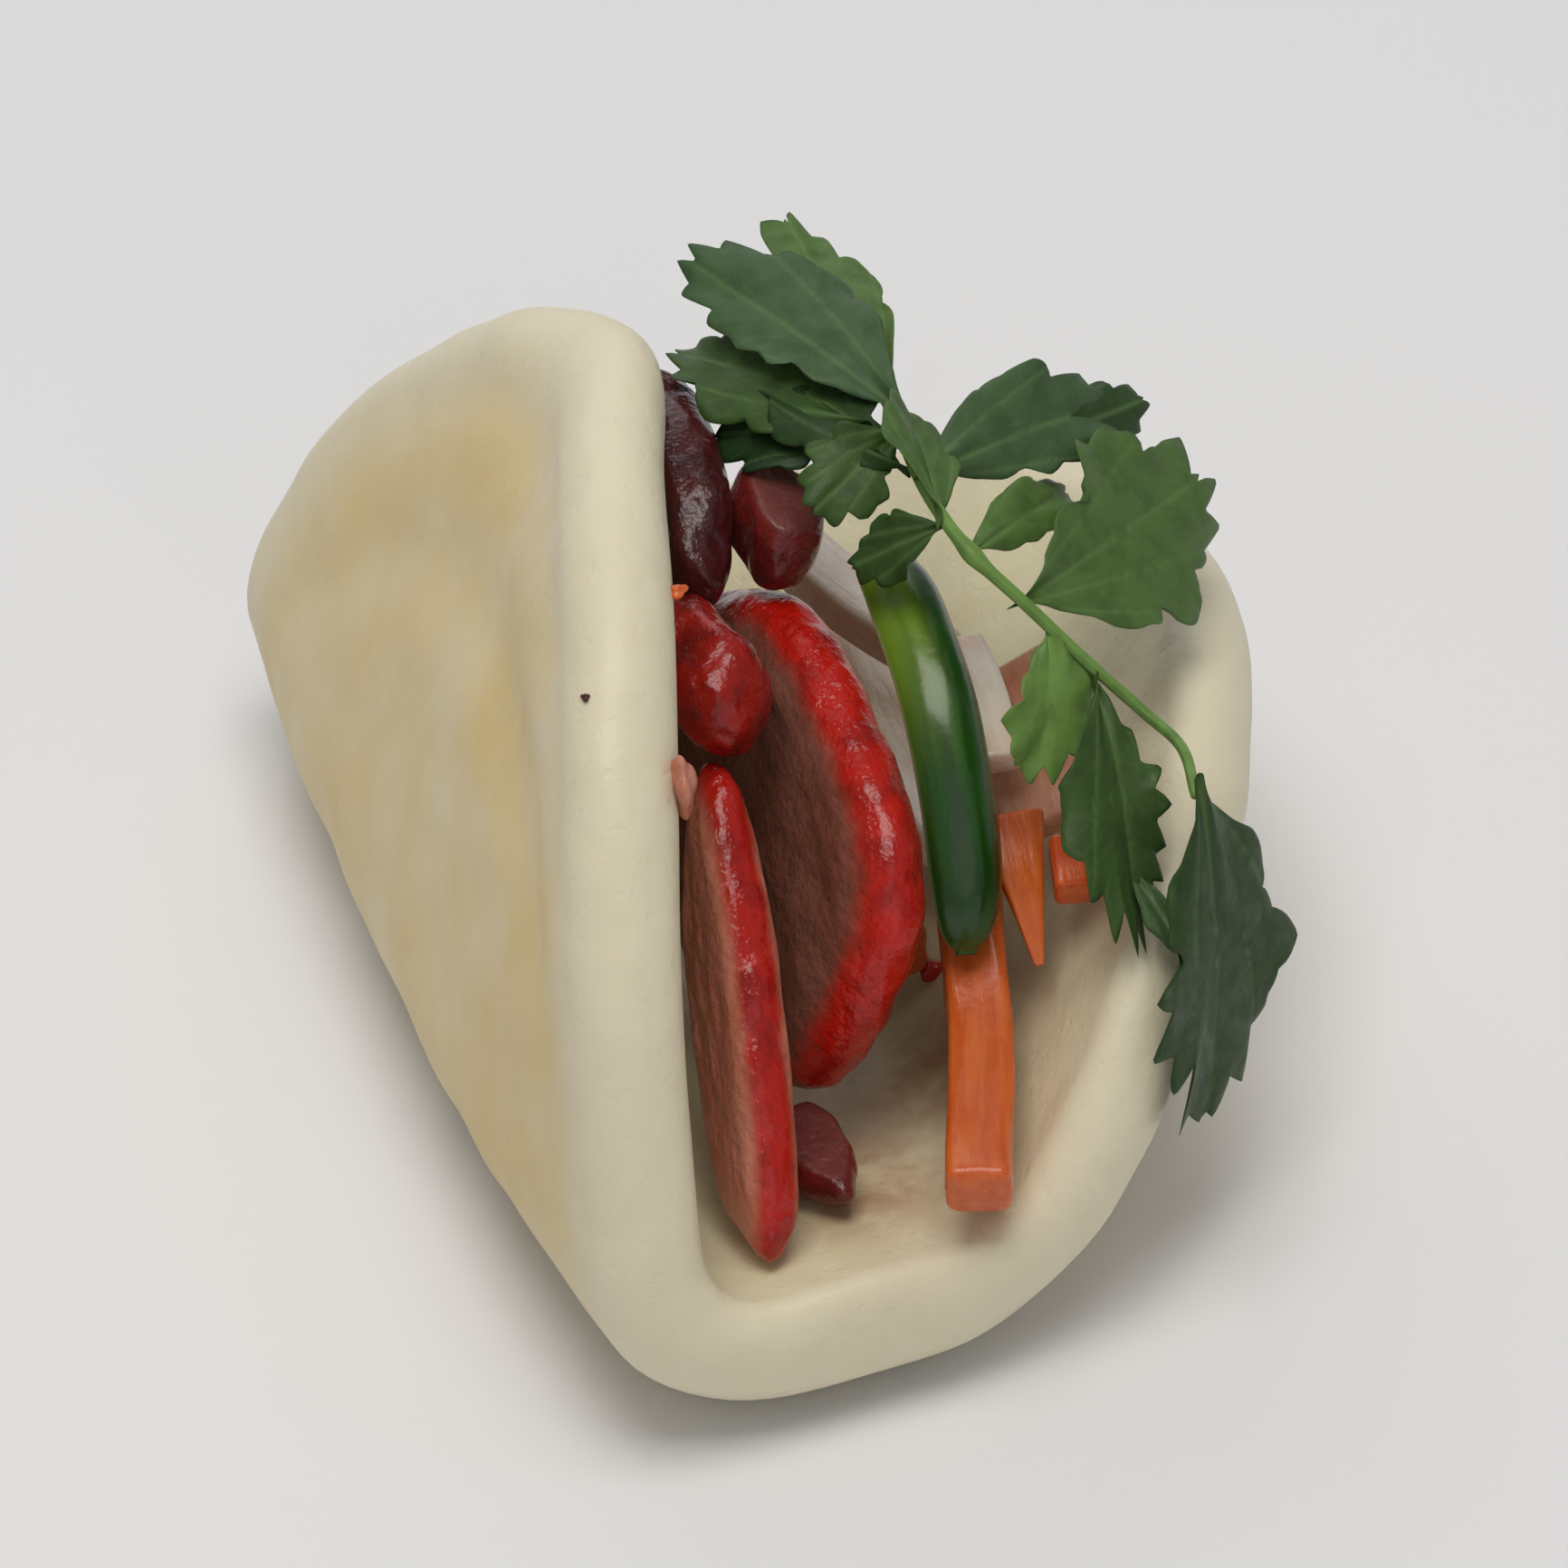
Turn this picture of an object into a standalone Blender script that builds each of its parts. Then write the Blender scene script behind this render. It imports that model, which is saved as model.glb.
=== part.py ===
"""An open steamed bun, folded over roast pork, pickled vegetables and a sprig of fresh coriander.

The bun is one oval of dough folded along its long axis. It stands on its fold, with both flaps up.
Frame: origin at the middle of the flat spot under the fold, +Z up, +Y along the fold, and +X towards
the flap that leans outwards. Units are metres.
"""

import math
from dataclasses import dataclass

import bmesh
import bpy
import numpy as np

MM = 0.001


@dataclass(frozen=True)
class Flap:
    """One flap of the folded dough, on the side that its sign gives."""

    side: float
    arc: float  # along the dough from the middle of the fold to the rim
    bend: float  # length of dough that the bend beside the fold takes up
    slope: float  # how far the bend turns from level, in radians
    twist: float  # added to the slope towards the far end, and taken off towards the near one
    curl: float  # how much further the flap turns between the bend and its rim
    shift: float  # how far the rim has slid along the fold


@dataclass(frozen=True)
class Slab:
    """A slice or chunk of meat: a flat oval body with a round rim, lengths in millimetres."""

    centre: tuple
    length_axis: tuple
    face_normal: tuple
    half_sizes: tuple  # along the length, across it, and through the slice
    rim_share: float = 0.28  # how much of the half width the round rim takes up
    bow: float = 0.0  # how far the ends bend back from the face
    lumps: float = 0.05  # how uneven the outline is
    phase: float = 0.0


@dataclass(frozen=True)
class Stick:
    """A cut stick of vegetable along a gentle curve, lengths in millimetres."""

    start: tuple
    middle: tuple
    end: tuple
    width: float
    depth: float
    end_width: float = 1.0  # the far end's share of the width
    up: tuple = (0.0, 0.0, 1.0)


@dataclass(frozen=True)
class Leaf:
    """One lobed leaf, lengths in millimetres: its base, its tip, the way its face looks and its half width."""

    base: tuple
    tip: tuple
    facing: tuple
    half_width: float
    droop: float = 2.0


# Driving sizes of the dough
HALF_LENGTH = 48.5 * MM  # half of the fold's length
LEFT = Flap(-1.0, 66.5 * MM, 19.5 * MM, math.radians(102), 0.21, 0.20, 0.6 * MM)
RIGHT = Flap(1.0, 55.5 * MM, 20.0 * MM, math.radians(39), -0.27, 0.07, 0.0)
DOUGH = 8.6 * MM  # thickness of the flaps
FOLD_EXTRA = 1.2 * MM  # how much thicker the dough is under the fold
OVAL_POWER = 2.15  # 2 is an ellipse, more is squarer
FLAT_ARC = 3.0 * MM  # half width of the flat part of the fold, before the bend starts
PRESSED_FLAT = 1.0 * MM  # how much of the fold's round underside the weight has flattened
END_LIFT = 4.0 * MM  # how much the two ends of the fold rise off the table
PUFF = 2.6 * MM  # how much the middle of each flap swells outwards

# Roast pork, slices first: the two that stand side by side at the front, then what lies behind and under them
PORK = {
    "pork_slice_left": Slab((-2.0, -28.0, 23.4), (0.15, 0.70, 0.69), (-0.97, -0.05, 0.20), (18.2, 5.0, 2.3), phase=0.4),
    "pork_slice_middle": Slab((7.3, -12.4, 26.4), (0.03, 1.0, 0.28), (-0.93, 0.0, 0.36), (20.0, 15.0, 3.4), phase=1.3),
    "pork_chunk_glazed": Slab((2.6, -10.6, 41.6), (0.0, 1.0, 0.1), (-0.3, 0.0, 0.95), (6.6, 3.7, 4.6), 0.6, phase=2.1),
    "pork_chunk_cut": Slab((12.2, 1.6, 44.0), (0.0, 0.95, 0.2), (0.2, -0.5, 0.85), (4.8, 3.2, 3.2), 0.5, phase=3.0),
    "pork_slice_rear": Slab((6.4, 8.8, 44.0), (0.10, 1.0, 0.02), (-0.95, 0.1, 0.25), (11.5, 6.0, 2.6), phase=4.2),
    "pork_slice_low": Slab((2.0, -32.6, 12.7), (0.0, 1.0, 0.0), (0.0, 0.0, 1.0), (5.4, 2.6, 1.5), phase=5.1),
    "pork_slice_far": Slab((3.0, 22.6, 22.5), (0.05, 1.0, 0.0), (-0.95, 0.0, 0.25), (15.0, 11.6, 3.4), phase=0.9),
}

# Pickled carrot and daikon radish
CARROT = {
    "carrot_stick_long": Stick((19.2, -19.5, 25.0), (15.4, -32.5, 19.6), (9.7, -47.5, 18.4), 4.9, 4.2),
    "carrot_wedge": Stick((21.8, -20.8, 29.8), (21.4, -25.2, 27.4), (20.8, -30.2, 23.2), 5.8, 2.8, 0.12),
    "carrot_cube": Stick((26.0, -24.0, 28.6), (25.5, -26.0, 28.0), (25.0, -28.0, 27.2), 3.8, 3.4),
    "carrot_stick_low": Stick((15.6, 22.0, 14.6), (15.0, 2.0, 14.2), (14.6, -16.0, 14.8), 4.8, 4.4),
}
DAIKON = {
    "daikon_ribbon": Stick((27.8, -6.0, 31.2), (27.2, -13.0, 29.8), (26.2, -20.4, 27.8), 8.4, 2.2, up=(-0.55, -0.25, 0.8)),
    "daikon_stick_1": Stick((23.8, -6.4, 35.0), (23.5, -12.4, 34.4), (22.8, -18.0, 32.8), 3.2, 2.6),
    "daikon_stick_2": Stick((21.8, 19.0, 19.4), (20.8, 4.0, 20.0), (20.4, -12.0, 21.2), 5.0, 4.0),
    "daikon_stick_3": Stick((18.6, 26.0, 26.0), (21.0, 12.0, 27.0), (25.0, 1.5, 27.6), 4.6, 4.0),
}

# The strip of green pepper lies skin outwards along an arc
PEPPER_PATH = ((19.1, -1.5, 40.9), (18.6, -9.0, 41.7), (17.9, -18.0, 38.9), (16.9, -25.0, 31.6), (15.7, -28.6, 24.8))
PEPPER_WIDTH = 6.4
PEPPER_DEPTH = 3.6

# The sprig's stem, and the leaves that grow from it
STEM_PATH = (
    (21.6, 0.6, 52.4),
    (20.6, -8.6, 52.6),
    (21.4, -15.4, 51.6),
    (24.6, -18.8, 48.0),
    (28.0, -21.8, 44.0),
    (31.6, -24.2, 39.8),
    (32.6, -29.8, 40.2),
    (31.6, -35.3, 40.2),
)
STEM_RADIUS = 0.75
LEAVES = (
    Leaf((21.6, -2.2, 52.9), (13.4, 22.8, 54.4), (0.0, -0.6, 0.80), 5.6),
    Leaf((21.4, -1.0, 52.2), (20.8, 25.2, 52.6), (0.0, -0.3, 0.95), 4.0),
    Leaf((20.6, -5.0, 52.8), (9.6, 11.0, 50.4), (0.0, -0.3, 0.95), 4.8),
    Leaf((20.0, -8.6, 52.7), (40.2, -5.6, 47.6), (0.1, -0.6, 0.80), 4.4),
    Leaf((24.4, -18.8, 48.0), (43.0, -5.8, 41.6), (0.2, -0.7, 0.68), 6.8),
    Leaf((24.8, -19.2, 47.6), (23.2, -25.6, 35.8), (0.3, -0.8, 0.60), 4.0),
    Leaf((28.2, -22.2, 43.2), (26.0, -36.0, 27.8), (0.3, -0.8, 0.60), 4.8),
    Leaf((31.8, -34.8, 43.2), (29.6, -40.2, 15.2), (0.65, -0.75, 0.10), 9.4, 1.0),
)

# Mesh sizes
AROUND_BUN = 56
AROUND_SLAB = 20
AROUND_LEAF = 20
BEND_STEPS = 40


def signed_power(value, power):
    """The value's size raised to a power, with the value's sign."""
    return np.sign(value) * np.abs(value) ** power


def unit(vector):
    """The vector at length one."""
    vector = np.asarray(vector, float)
    return vector / np.linalg.norm(vector)


def pillow_profile(face_rings, rim_steps, rim_share):
    """Ring radii from 0 to 1 and heights from 1 to -1 of a flat body with a round rim, from its top down."""
    flat = np.linspace(0.0, 1.0 - rim_share, face_rings + 1)[1:-1]
    turn = np.linspace(0.0, math.pi, rim_steps + 1)
    rim_radius = 1.0 - rim_share + rim_share * np.sin(turn)
    radius = np.concatenate([flat, rim_radius, flat[::-1]])
    height = np.concatenate([np.ones(len(flat)), np.cos(turn), -np.ones(len(flat))])
    return radius, height


def closed_rings(points, first_pole, last_pole):
    """Vertices and faces of a body made of rings of points, closed by a fan at each end.

    The points are an array of rings by points on a ring by 3.
    """
    rings, around = points.shape[:2]
    vertices = np.concatenate([points.reshape(-1, 3), [first_pole], [last_pole]])
    first, last = rings * around, rings * around + 1
    here = np.arange(around)
    after = (here + 1) % around
    faces = [(first, int(b), int(a)) for a, b in zip(here, after)]
    for ring in range(rings - 1):
        low, high = ring * around, (ring + 1) * around
        faces += [(int(low + a), int(low + b), int(high + b), int(high + a)) for a, b in zip(here, after)]
    end = (rings - 1) * around
    faces += [(last, int(end + a), int(end + b)) for a, b in zip(here, after)]
    return vertices, faces


def ring_grid(radius, height, around):
    """The radius, the height and the angle of every point of a pillow, as arrays of rings by points."""
    angle = np.linspace(0.0, 2 * math.pi, around, endpoint=False)
    r, a = np.meshgrid(radius, angle, indexing="ij")
    return r, np.repeat(height[:, None], around, axis=1), a


def along_mean(values):
    """The mean of evenly spaced values over their last axis, by the trapezium rule."""
    return (values.sum(axis=-1) - 0.5 * (values[..., 0] + values[..., -1])) / (values.shape[-1] - 1)


def fold_position(flap, along, arc):
    """Where the middle of the dough runs: its sideways place, height and slope at an arc length from the fold.

    The slope is zero on the flat part, then turns smoothly over the bend to the flap's own slope and
    curls on to the rim. The place is the sum of the slope's cosine and sine along the arc.
    """
    reach = np.linspace(0.0, 1.0, BEND_STEPS)
    steps = arc[..., None] * reach
    share = np.clip((steps - FLAT_ARC) / flap.bend, 0.0, 1.0)
    turn = share * share * (3.0 - 2.0 * share)
    beyond = np.maximum(steps - FLAT_ARC - flap.bend, 0.0) / (flap.arc - FLAT_ARC - flap.bend)
    slope = turn * (flap.slope + flap.twist * along[..., None] / HALF_LENGTH) + flap.curl * beyond
    return arc * along_mean(np.cos(slope)), arc * along_mean(np.sin(slope)), slope[..., -1]


def flap_points(flap, radius, height, angle):
    """Points of one flap from the ring radius, the height through the dough and the angle round the oval."""
    across = np.abs(np.sin(angle)) ** (2 / OVAL_POWER)
    length = signed_power(np.cos(angle), 2 / OVAL_POWER)
    along = HALF_LENGTH * radius * length
    arc = flap.arc * radius * across
    sideways, rise, slope = fold_position(flap, along, arc)
    swell = PUFF * np.clip(1.0 - radius**2, 0.0, 1.0) * np.minimum(arc / flap.bend, 1.0)
    under = np.exp(-((arc / (FLAT_ARC + 0.5 * flap.bend)) ** 2))
    offset = 0.5 * (DOUGH + FOLD_EXTRA * under) * height - swell
    x = flap.side * (sideways - offset * np.sin(slope))
    y = along + flap.shift * (arc / flap.arc) ** 2
    z = rise + offset * np.cos(slope) + END_LIFT * np.abs(along / HALF_LENGTH) ** 3
    floor = -0.5 * (DOUGH + FOLD_EXTRA) + PRESSED_FLAT
    return np.stack([x, y, np.maximum(z, floor) - floor], axis=-1)


def dough_points(radius, height, angle):
    """Points of the folded dough, each from the flap that its angle round the oval is on."""
    right = flap_points(RIGHT, radius, height, angle)
    left = flap_points(LEFT, radius, height, angle)
    return np.where((np.sin(angle) >= 0)[..., None], right, left)


def make_bun():
    """Vertices and faces of the folded dough."""
    radius, height = pillow_profile(10, 6, 0.5 * DOUGH / LEFT.arc)
    points = dough_points(*ring_grid(radius, height, AROUND_BUN))
    poles = dough_points(np.zeros(2), np.array([1.0, -1.0]), np.zeros(2))
    return closed_rings(points, poles[0], poles[1])


def make_slab(slab):
    """Vertices and faces of one slice: an oval with an uneven outline, thick through its face, with a round rim."""
    radius, height = pillow_profile(3, 4, slab.rim_share)
    r, h, a = ring_grid(radius, height, AROUND_SLAB)
    outline = 1.0 + slab.lumps * (np.sin(3 * a + slab.phase) + 0.6 * np.sin(5 * a + 2.3 * slab.phase))
    half_length, half_width, half_depth = slab.half_sizes
    along = half_length * r * outline * signed_power(np.cos(a), 0.9)
    across = half_width * r * outline * signed_power(np.sin(a), 0.9)
    depth = half_depth * h * (1.0 + 0.8 * slab.lumps * np.sin(2 * a + slab.phase) * r)
    depth = depth - slab.bow * (along / half_length) ** 2
    first = unit(slab.length_axis)
    third = unit(np.asarray(slab.face_normal) - first * np.dot(first, slab.face_normal))
    second = np.cross(first, third)
    centre = np.asarray(slab.centre)
    points = centre + along[..., None] * first + across[..., None] * second + depth[..., None] * third
    return closed_rings(points * MM, (centre + half_depth * third) * MM, (centre - half_depth * third) * MM)


def smooth_path(corners, count):
    """Points along a curve through the corners, by cubic Hermite pieces whose slopes come from the neighbours."""
    corners = np.asarray(corners, float)
    slopes = np.gradient(corners, axis=0)
    place = np.linspace(0.0, len(corners) - 1.0, count)
    piece = np.minimum(place.astype(int), len(corners) - 2)
    t = (place - piece)[:, None]
    start, end = corners[piece], corners[piece + 1]
    leave, arrive = slopes[piece], slopes[piece + 1]
    return (
        (2 * t**3 - 3 * t**2 + 1) * start
        + (t**3 - 2 * t**2 + t) * leave
        + (3 * t**2 - 2 * t**3) * end
        + (t**3 - t**2) * arrive
    )


def sweep(path, sections, up):
    """Vertices and faces of sections carried along a path, closed at both ends.

    Each section is a closed loop of sideways and upright offsets, anticlockwise as seen from the path's end.
    """
    forward = np.gradient(path, axis=0)
    forward /= np.linalg.norm(forward, axis=1, keepdims=True)
    side = np.cross(forward, np.asarray(up, float))
    side /= np.linalg.norm(side, axis=1, keepdims=True)
    upright = np.cross(side, forward)
    points = path[:, None] + sections[..., :1] * side[:, None] + sections[..., 1:] * upright[:, None]
    return closed_rings(points[:, ::-1] * MM, path[0] * MM, path[-1] * MM)


def make_stick(stick):
    """Vertices and faces of one cut stick: a rounded rectangle carried along a gentle curve."""
    count = 6
    path = smooth_path((stick.start, stick.middle, stick.end), count)
    turn = np.linspace(0.0, 2 * math.pi, 12, endpoint=False) + math.pi / 12
    loop = np.stack([signed_power(np.cos(turn), 0.4), signed_power(np.sin(turn), 0.4)], axis=-1)
    narrow = np.linspace(1.0, stick.end_width, count)[:, None, None]
    sections = 0.5 * loop[None] * np.array([stick.width, stick.depth]) * narrow
    return sweep(path, sections, stick.up)


def make_pepper():
    """Vertices and faces of the pepper strip: an arched wall, skin outwards, that narrows to both ends."""
    count = 12
    path = smooth_path(PEPPER_PATH, count)
    turn = np.linspace(0.0, 2 * math.pi, 14, endpoint=False)
    across = 0.5 * PEPPER_WIDTH * np.cos(turn)
    arch = 0.45 * PEPPER_DEPTH * (1.0 - (2 * across / PEPPER_WIDTH) ** 2)
    upright = arch + 0.35 * PEPPER_DEPTH * signed_power(np.sin(turn), 0.8)
    share = np.linspace(-1.0, 1.0, count)
    narrow = np.sqrt(np.clip(1.0 - np.abs(share) ** 5, 0.10, 1.0))[:, None]
    sections = np.stack([narrow * across, narrow * upright], axis=-1)
    return sweep(path, sections, (0.45, -0.35, 1.0))


def make_leaf(leaf):
    """Vertices and faces of one lobed leaf, thin and slightly drooped from its base to its tip."""
    radius, height = pillow_profile(3, 2, 0.12)
    r, h, a = ring_grid(radius, height, AROUND_LEAF)
    base, tip = np.asarray(leaf.base), np.asarray(leaf.tip)
    half_length = 0.5 * np.linalg.norm(tip - base) + 0.6
    first = unit(tip - base)
    third = unit(np.asarray(leaf.facing) - first * np.dot(first, leaf.facing))
    second = np.cross(first, third)
    lobes = 1.0 + 0.16 * np.cos(5 * a)
    along = half_length * r * np.cos(a) * (1.0 + 0.04 * np.cos(5 * a))
    widest = np.clip((along / half_length + 1.35) / 1.6, 0.15, 1.0)
    across = leaf.half_width * r * lobes * np.sin(a) * widest
    lift = leaf.droop * (1.0 - (along / half_length) ** 2) - 0.8 * np.abs(across) / leaf.half_width
    points = 0.5 * (base + tip) + along[..., None] * first + across[..., None] * second
    points = points + (lift + 0.4 * h)[..., None] * third
    middle = 0.5 * (base + tip) + leaf.droop * third
    return closed_rings(points * MM, (middle + 0.4 * third) * MM, (middle - 0.4 * third) * MM)


def make_stem():
    """Vertices and faces of the sprig's stem."""
    count = 16
    turn = np.linspace(0.0, 2 * math.pi, 8, endpoint=False)
    loop = STEM_RADIUS * np.stack([np.cos(turn), np.sin(turn)], axis=-1)
    return sweep(smooth_path(STEM_PATH, count), np.repeat(loop[None], count, axis=0), (0.0, 0.0, 1.0))


def all_meshes():
    """Every node's name with its vertices and faces, the sprig's pieces still apart."""
    meshes = {"bun": make_bun()}
    meshes.update({name: make_slab(slab) for name, slab in PORK.items()})
    meshes.update({name: make_stick(stick) for name, stick in {**CARROT, **DAIKON}.items()})
    meshes["pepper_strip"] = make_pepper()
    meshes["coriander_sprig"] = make_stem()
    meshes.update({f"sprig_leaf_{n}": make_leaf(leaf) for n, leaf in enumerate(LEAVES)})
    return meshes


FINISHES = {
    "bun": ((0.86, 0.80, 0.66, 1.0), 0.45),
    "pork": ((0.42, 0.05, 0.03, 1.0), 0.25),
    "carrot": ((0.85, 0.25, 0.04, 1.0), 0.35),
    "daikon": ((0.80, 0.68, 0.55, 1.0), 0.30),
    "pepper": ((0.05, 0.17, 0.03, 1.0), 0.30),
    "coriander": ((0.06, 0.18, 0.04, 1.0), 0.45),
    "sprig": ((0.06, 0.18, 0.04, 1.0), 0.45),
}


def make_material(name):
    """One Principled material for the kind of food that a node's name begins with."""
    colour, roughness = FINISHES[name.split("_")[0]]
    material = bpy.data.materials.new(name)
    material.use_nodes = True
    shader = material.node_tree.nodes["Principled BSDF"]
    shader.inputs["Base Color"].default_value = colour
    shader.inputs["Roughness"].default_value = roughness
    return material


def add_object(name, vertices, faces):
    """One named object with its own material, smooth, its faces pointing outwards."""
    mesh = bpy.data.meshes.new(name)
    mesh.from_pydata(vertices.tolist(), [], faces)
    body = bmesh.new()
    body.from_mesh(mesh)
    bmesh.ops.recalc_face_normals(body, faces=body.faces)
    body.to_mesh(mesh)
    body.free()
    mesh.shade_smooth()
    mesh.materials.append(make_material(name))
    thing = bpy.data.objects.new(name, mesh)
    bpy.context.scene.collection.objects.link(thing)
    return thing


def join_sprig():
    """Unites the leaves with the stem, so that the sprig is one body."""
    sprig = bpy.data.objects["coriander_sprig"]
    for leaf in [thing for thing in bpy.data.objects if thing.name.startswith("sprig_leaf_")]:
        leaf.hide_render = True
        leaf.display_type = "WIRE"
        union = sprig.modifiers.new(leaf.name, "BOOLEAN")
        union.operation = "UNION"
        union.solver = "EXACT"
        union.object = leaf


def main():
    """Clears the scene and builds each part."""
    for thing in list(bpy.data.objects):
        bpy.data.objects.remove(thing, do_unlink=True)
    for name, (vertices, faces) in all_meshes().items():
        add_object(name, vertices, faces)
    join_sprig()


main()
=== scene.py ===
"""Looks of an open steamed bun, folded over glazed roast pork, pickled vegetables and coriander.

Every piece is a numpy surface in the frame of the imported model: +Z up, +Y along the fold, +X towards the
flap that leans outwards. Sizes are in millimetres and become metres when a mesh is made.
"""

import logging
import math
from dataclasses import dataclass, field
from enum import Enum

import bpy
import numpy as np
from mathutils import Matrix, Quaternion, Vector


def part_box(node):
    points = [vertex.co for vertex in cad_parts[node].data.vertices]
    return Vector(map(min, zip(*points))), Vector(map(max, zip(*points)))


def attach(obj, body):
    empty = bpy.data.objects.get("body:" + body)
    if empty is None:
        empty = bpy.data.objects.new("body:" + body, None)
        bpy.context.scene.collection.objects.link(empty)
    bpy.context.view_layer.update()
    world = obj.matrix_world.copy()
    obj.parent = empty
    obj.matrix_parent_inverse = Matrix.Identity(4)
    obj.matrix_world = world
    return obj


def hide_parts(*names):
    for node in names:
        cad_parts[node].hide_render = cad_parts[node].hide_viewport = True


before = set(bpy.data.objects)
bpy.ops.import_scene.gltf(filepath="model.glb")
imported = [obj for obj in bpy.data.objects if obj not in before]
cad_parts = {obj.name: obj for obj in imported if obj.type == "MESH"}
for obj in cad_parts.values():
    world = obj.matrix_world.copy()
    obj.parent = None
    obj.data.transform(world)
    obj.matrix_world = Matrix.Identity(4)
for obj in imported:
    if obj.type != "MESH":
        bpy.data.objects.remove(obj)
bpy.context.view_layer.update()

log = logging.getLogger("bun")

MM = 0.001
FLOOR_DROP = 0.0002
Span = tuple[float, float]
Vec = tuple[float, float, float]
Grid = np.ndarray
Socket = bpy.types.NodeSocket
Material = bpy.types.Material


# ---------------------------------------------------------------- shapes


def unit(vector: Vec | Grid) -> Grid:
    """The vector at length one."""
    vector = np.asarray(vector, float)
    return vector / np.linalg.norm(vector)


def smooth_step(low: float, high: float, value: Grid) -> Grid:
    """0 below low, 1 above high, and 3t^2 - 2t^3 between them."""
    share = np.clip((value - low) / (high - low), 0.0, 1.0)
    return share * share * (3.0 - 2.0 * share)


def signed_power(value: Grid, power: float) -> Grid:
    """The value's size raised to a power, with the value's sign."""
    return np.sign(value) * np.abs(value) ** power


def waves(points: Grid, length: float, seed: int, count: int = 26) -> Grid:
    """A smooth uneven field: the sum of sine waves of random headings and near one wavelength, about -1..1.

    Args:
        points: places in millimetres, as an array whose last axis is x, y, z.
        length: the middle wavelength in millimetres.
        seed: picks the headings and phases.
        count: how many waves are added.

    Returns:
        One value for each point.
    """
    rng = np.random.default_rng(seed)
    heading = rng.normal(size=(count, 3))
    heading /= np.linalg.norm(heading, axis=1, keepdims=True)
    number = 2 * math.pi / (length * rng.uniform(0.7, 1.5, count))
    phase = rng.uniform(0.0, 2 * math.pi, count)
    return np.sin(points @ (heading * number[:, None]).T + phase).sum(axis=-1) / math.sqrt(count)


def bumpy(points: Grid, layers: tuple[tuple[float, float, int], ...]) -> Grid:
    """The sum of fields of waves, each given by its height, wavelength and seed."""
    return sum(height * waves(points, length, seed) for height, length, seed in layers)


def full_turn(count: int) -> Grid:
    """Angles spaced evenly once round a circle, without its end."""
    return np.linspace(0.0, 2 * math.pi, count, endpoint=False)


def pillow_profile(face_rings: int, rim_steps: int, rim_share: float) -> tuple[Grid, Grid]:
    """Ring radii 0..1 and heights 1..-1 of a flat body with a half-round rim, from its top face down.

    Args:
        face_rings: how many steps each flat face takes.
        rim_steps: how many steps the rim takes.
        rim_share: the share of the radius that the rim takes.

    Returns:
        The radii and the heights, one of each for a ring.
    """
    flat = np.linspace(0.0, 1.0 - rim_share, face_rings + 1)[1:-1]
    turn = np.linspace(0.0, math.pi, rim_steps + 1)
    radius = np.concatenate([flat, 1.0 - rim_share + rim_share * np.sin(turn), flat[::-1]])
    height = np.concatenate([np.ones(len(flat)), np.cos(turn), -np.ones(len(flat))])
    return radius, height


def smooth_path(corners: tuple[Vec, ...], count: int) -> Grid:
    """Points on a cubic Hermite curve through the corners, each slope the mean of its neighbours'.

    Args:
        corners: the points that the curve passes.
        count: how many points it is worked out at.

    Returns:
        The points, evenly spread over the stretches between corners.
    """
    corners = np.asarray(corners, float)
    slopes = np.gradient(corners, axis=0)
    place = np.linspace(0.0, len(corners) - 1.0, count)
    piece = np.minimum(place.astype(int), len(corners) - 2)
    t = (place - piece)[:, None]
    start, end, leave, arrive = corners[piece], corners[piece + 1], slopes[piece], slopes[piece + 1]
    return (
        (2 * t**3 - 3 * t**2 + 1) * start
        + (t**3 - 2 * t**2 + t) * leave
        + (3 * t**2 - 2 * t**3) * end
        + (t**3 - t**2) * arrive
    )


def path_axes(path: Grid, up: Vec) -> tuple[Grid, Grid]:
    """The sideways and upright unit vectors of each point of a path: forward x up, and its product back.

    Args:
        path: the points of a path.
        up: the direction that the upright vectors lean towards.

    Returns:
        The sideways vectors and the upright ones, one of each for a point.
    """
    forward = np.gradient(path, axis=0)
    forward /= np.linalg.norm(forward, axis=1, keepdims=True)
    side = np.cross(forward, np.asarray(up, float))
    side /= np.linalg.norm(side, axis=1, keepdims=True)
    return side, np.cross(side, forward)


def path_length(path: Grid) -> float:
    """The length of a path of points: the sum of its steps."""
    return np.linalg.norm(np.diff(path, axis=0), axis=1).sum()


def swept(path: Grid, axes: tuple[Grid, Grid], local: Grid) -> Grid:
    """Rings along a path: each point is its path point, plus its two local places along the path's axes."""
    side, upright = axes
    return path[:, None] + local[..., :1] * side[:, None] + local[..., 1:] * upright[:, None]


def grain_along(distance: Grid, local: Grid) -> Grid:
    """Places for a pattern on a swept piece: each ring's distance, then its points' two local places."""
    far = np.repeat(distance[:, None, None], local.shape[1], axis=1)
    return np.concatenate([far, local], axis=-1)


@dataclass
class Skin:
    """A surface in arrays: its vertices in millimetres, its faces, and a named value for each vertex."""

    vertices: Grid
    faces: list
    values: dict[str, Grid] = field(default_factory=dict)

    def joined(self, other: "Skin") -> "Skin":
        """This skin and another as one, their values side by side.

        Args:
            other: a skin with values of the same names.

        Returns:
            The skin of both.
        """
        shift = len(self.vertices)
        faces = self.faces + [tuple(corner + shift for corner in face) for face in other.faces]
        values = {name: np.concatenate([self.values[name], other.values[name]]) for name in self.values}
        return Skin(np.concatenate([self.vertices, other.vertices]), faces, values)

    def centred_on(self, node: str) -> "Skin":
        """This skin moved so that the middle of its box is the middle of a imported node's."""
        shift = box_middle(np.asarray(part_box(node)) / MM) - box_middle(self.vertices)
        return Skin(self.vertices + shift, self.faces, self.values)


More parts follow.
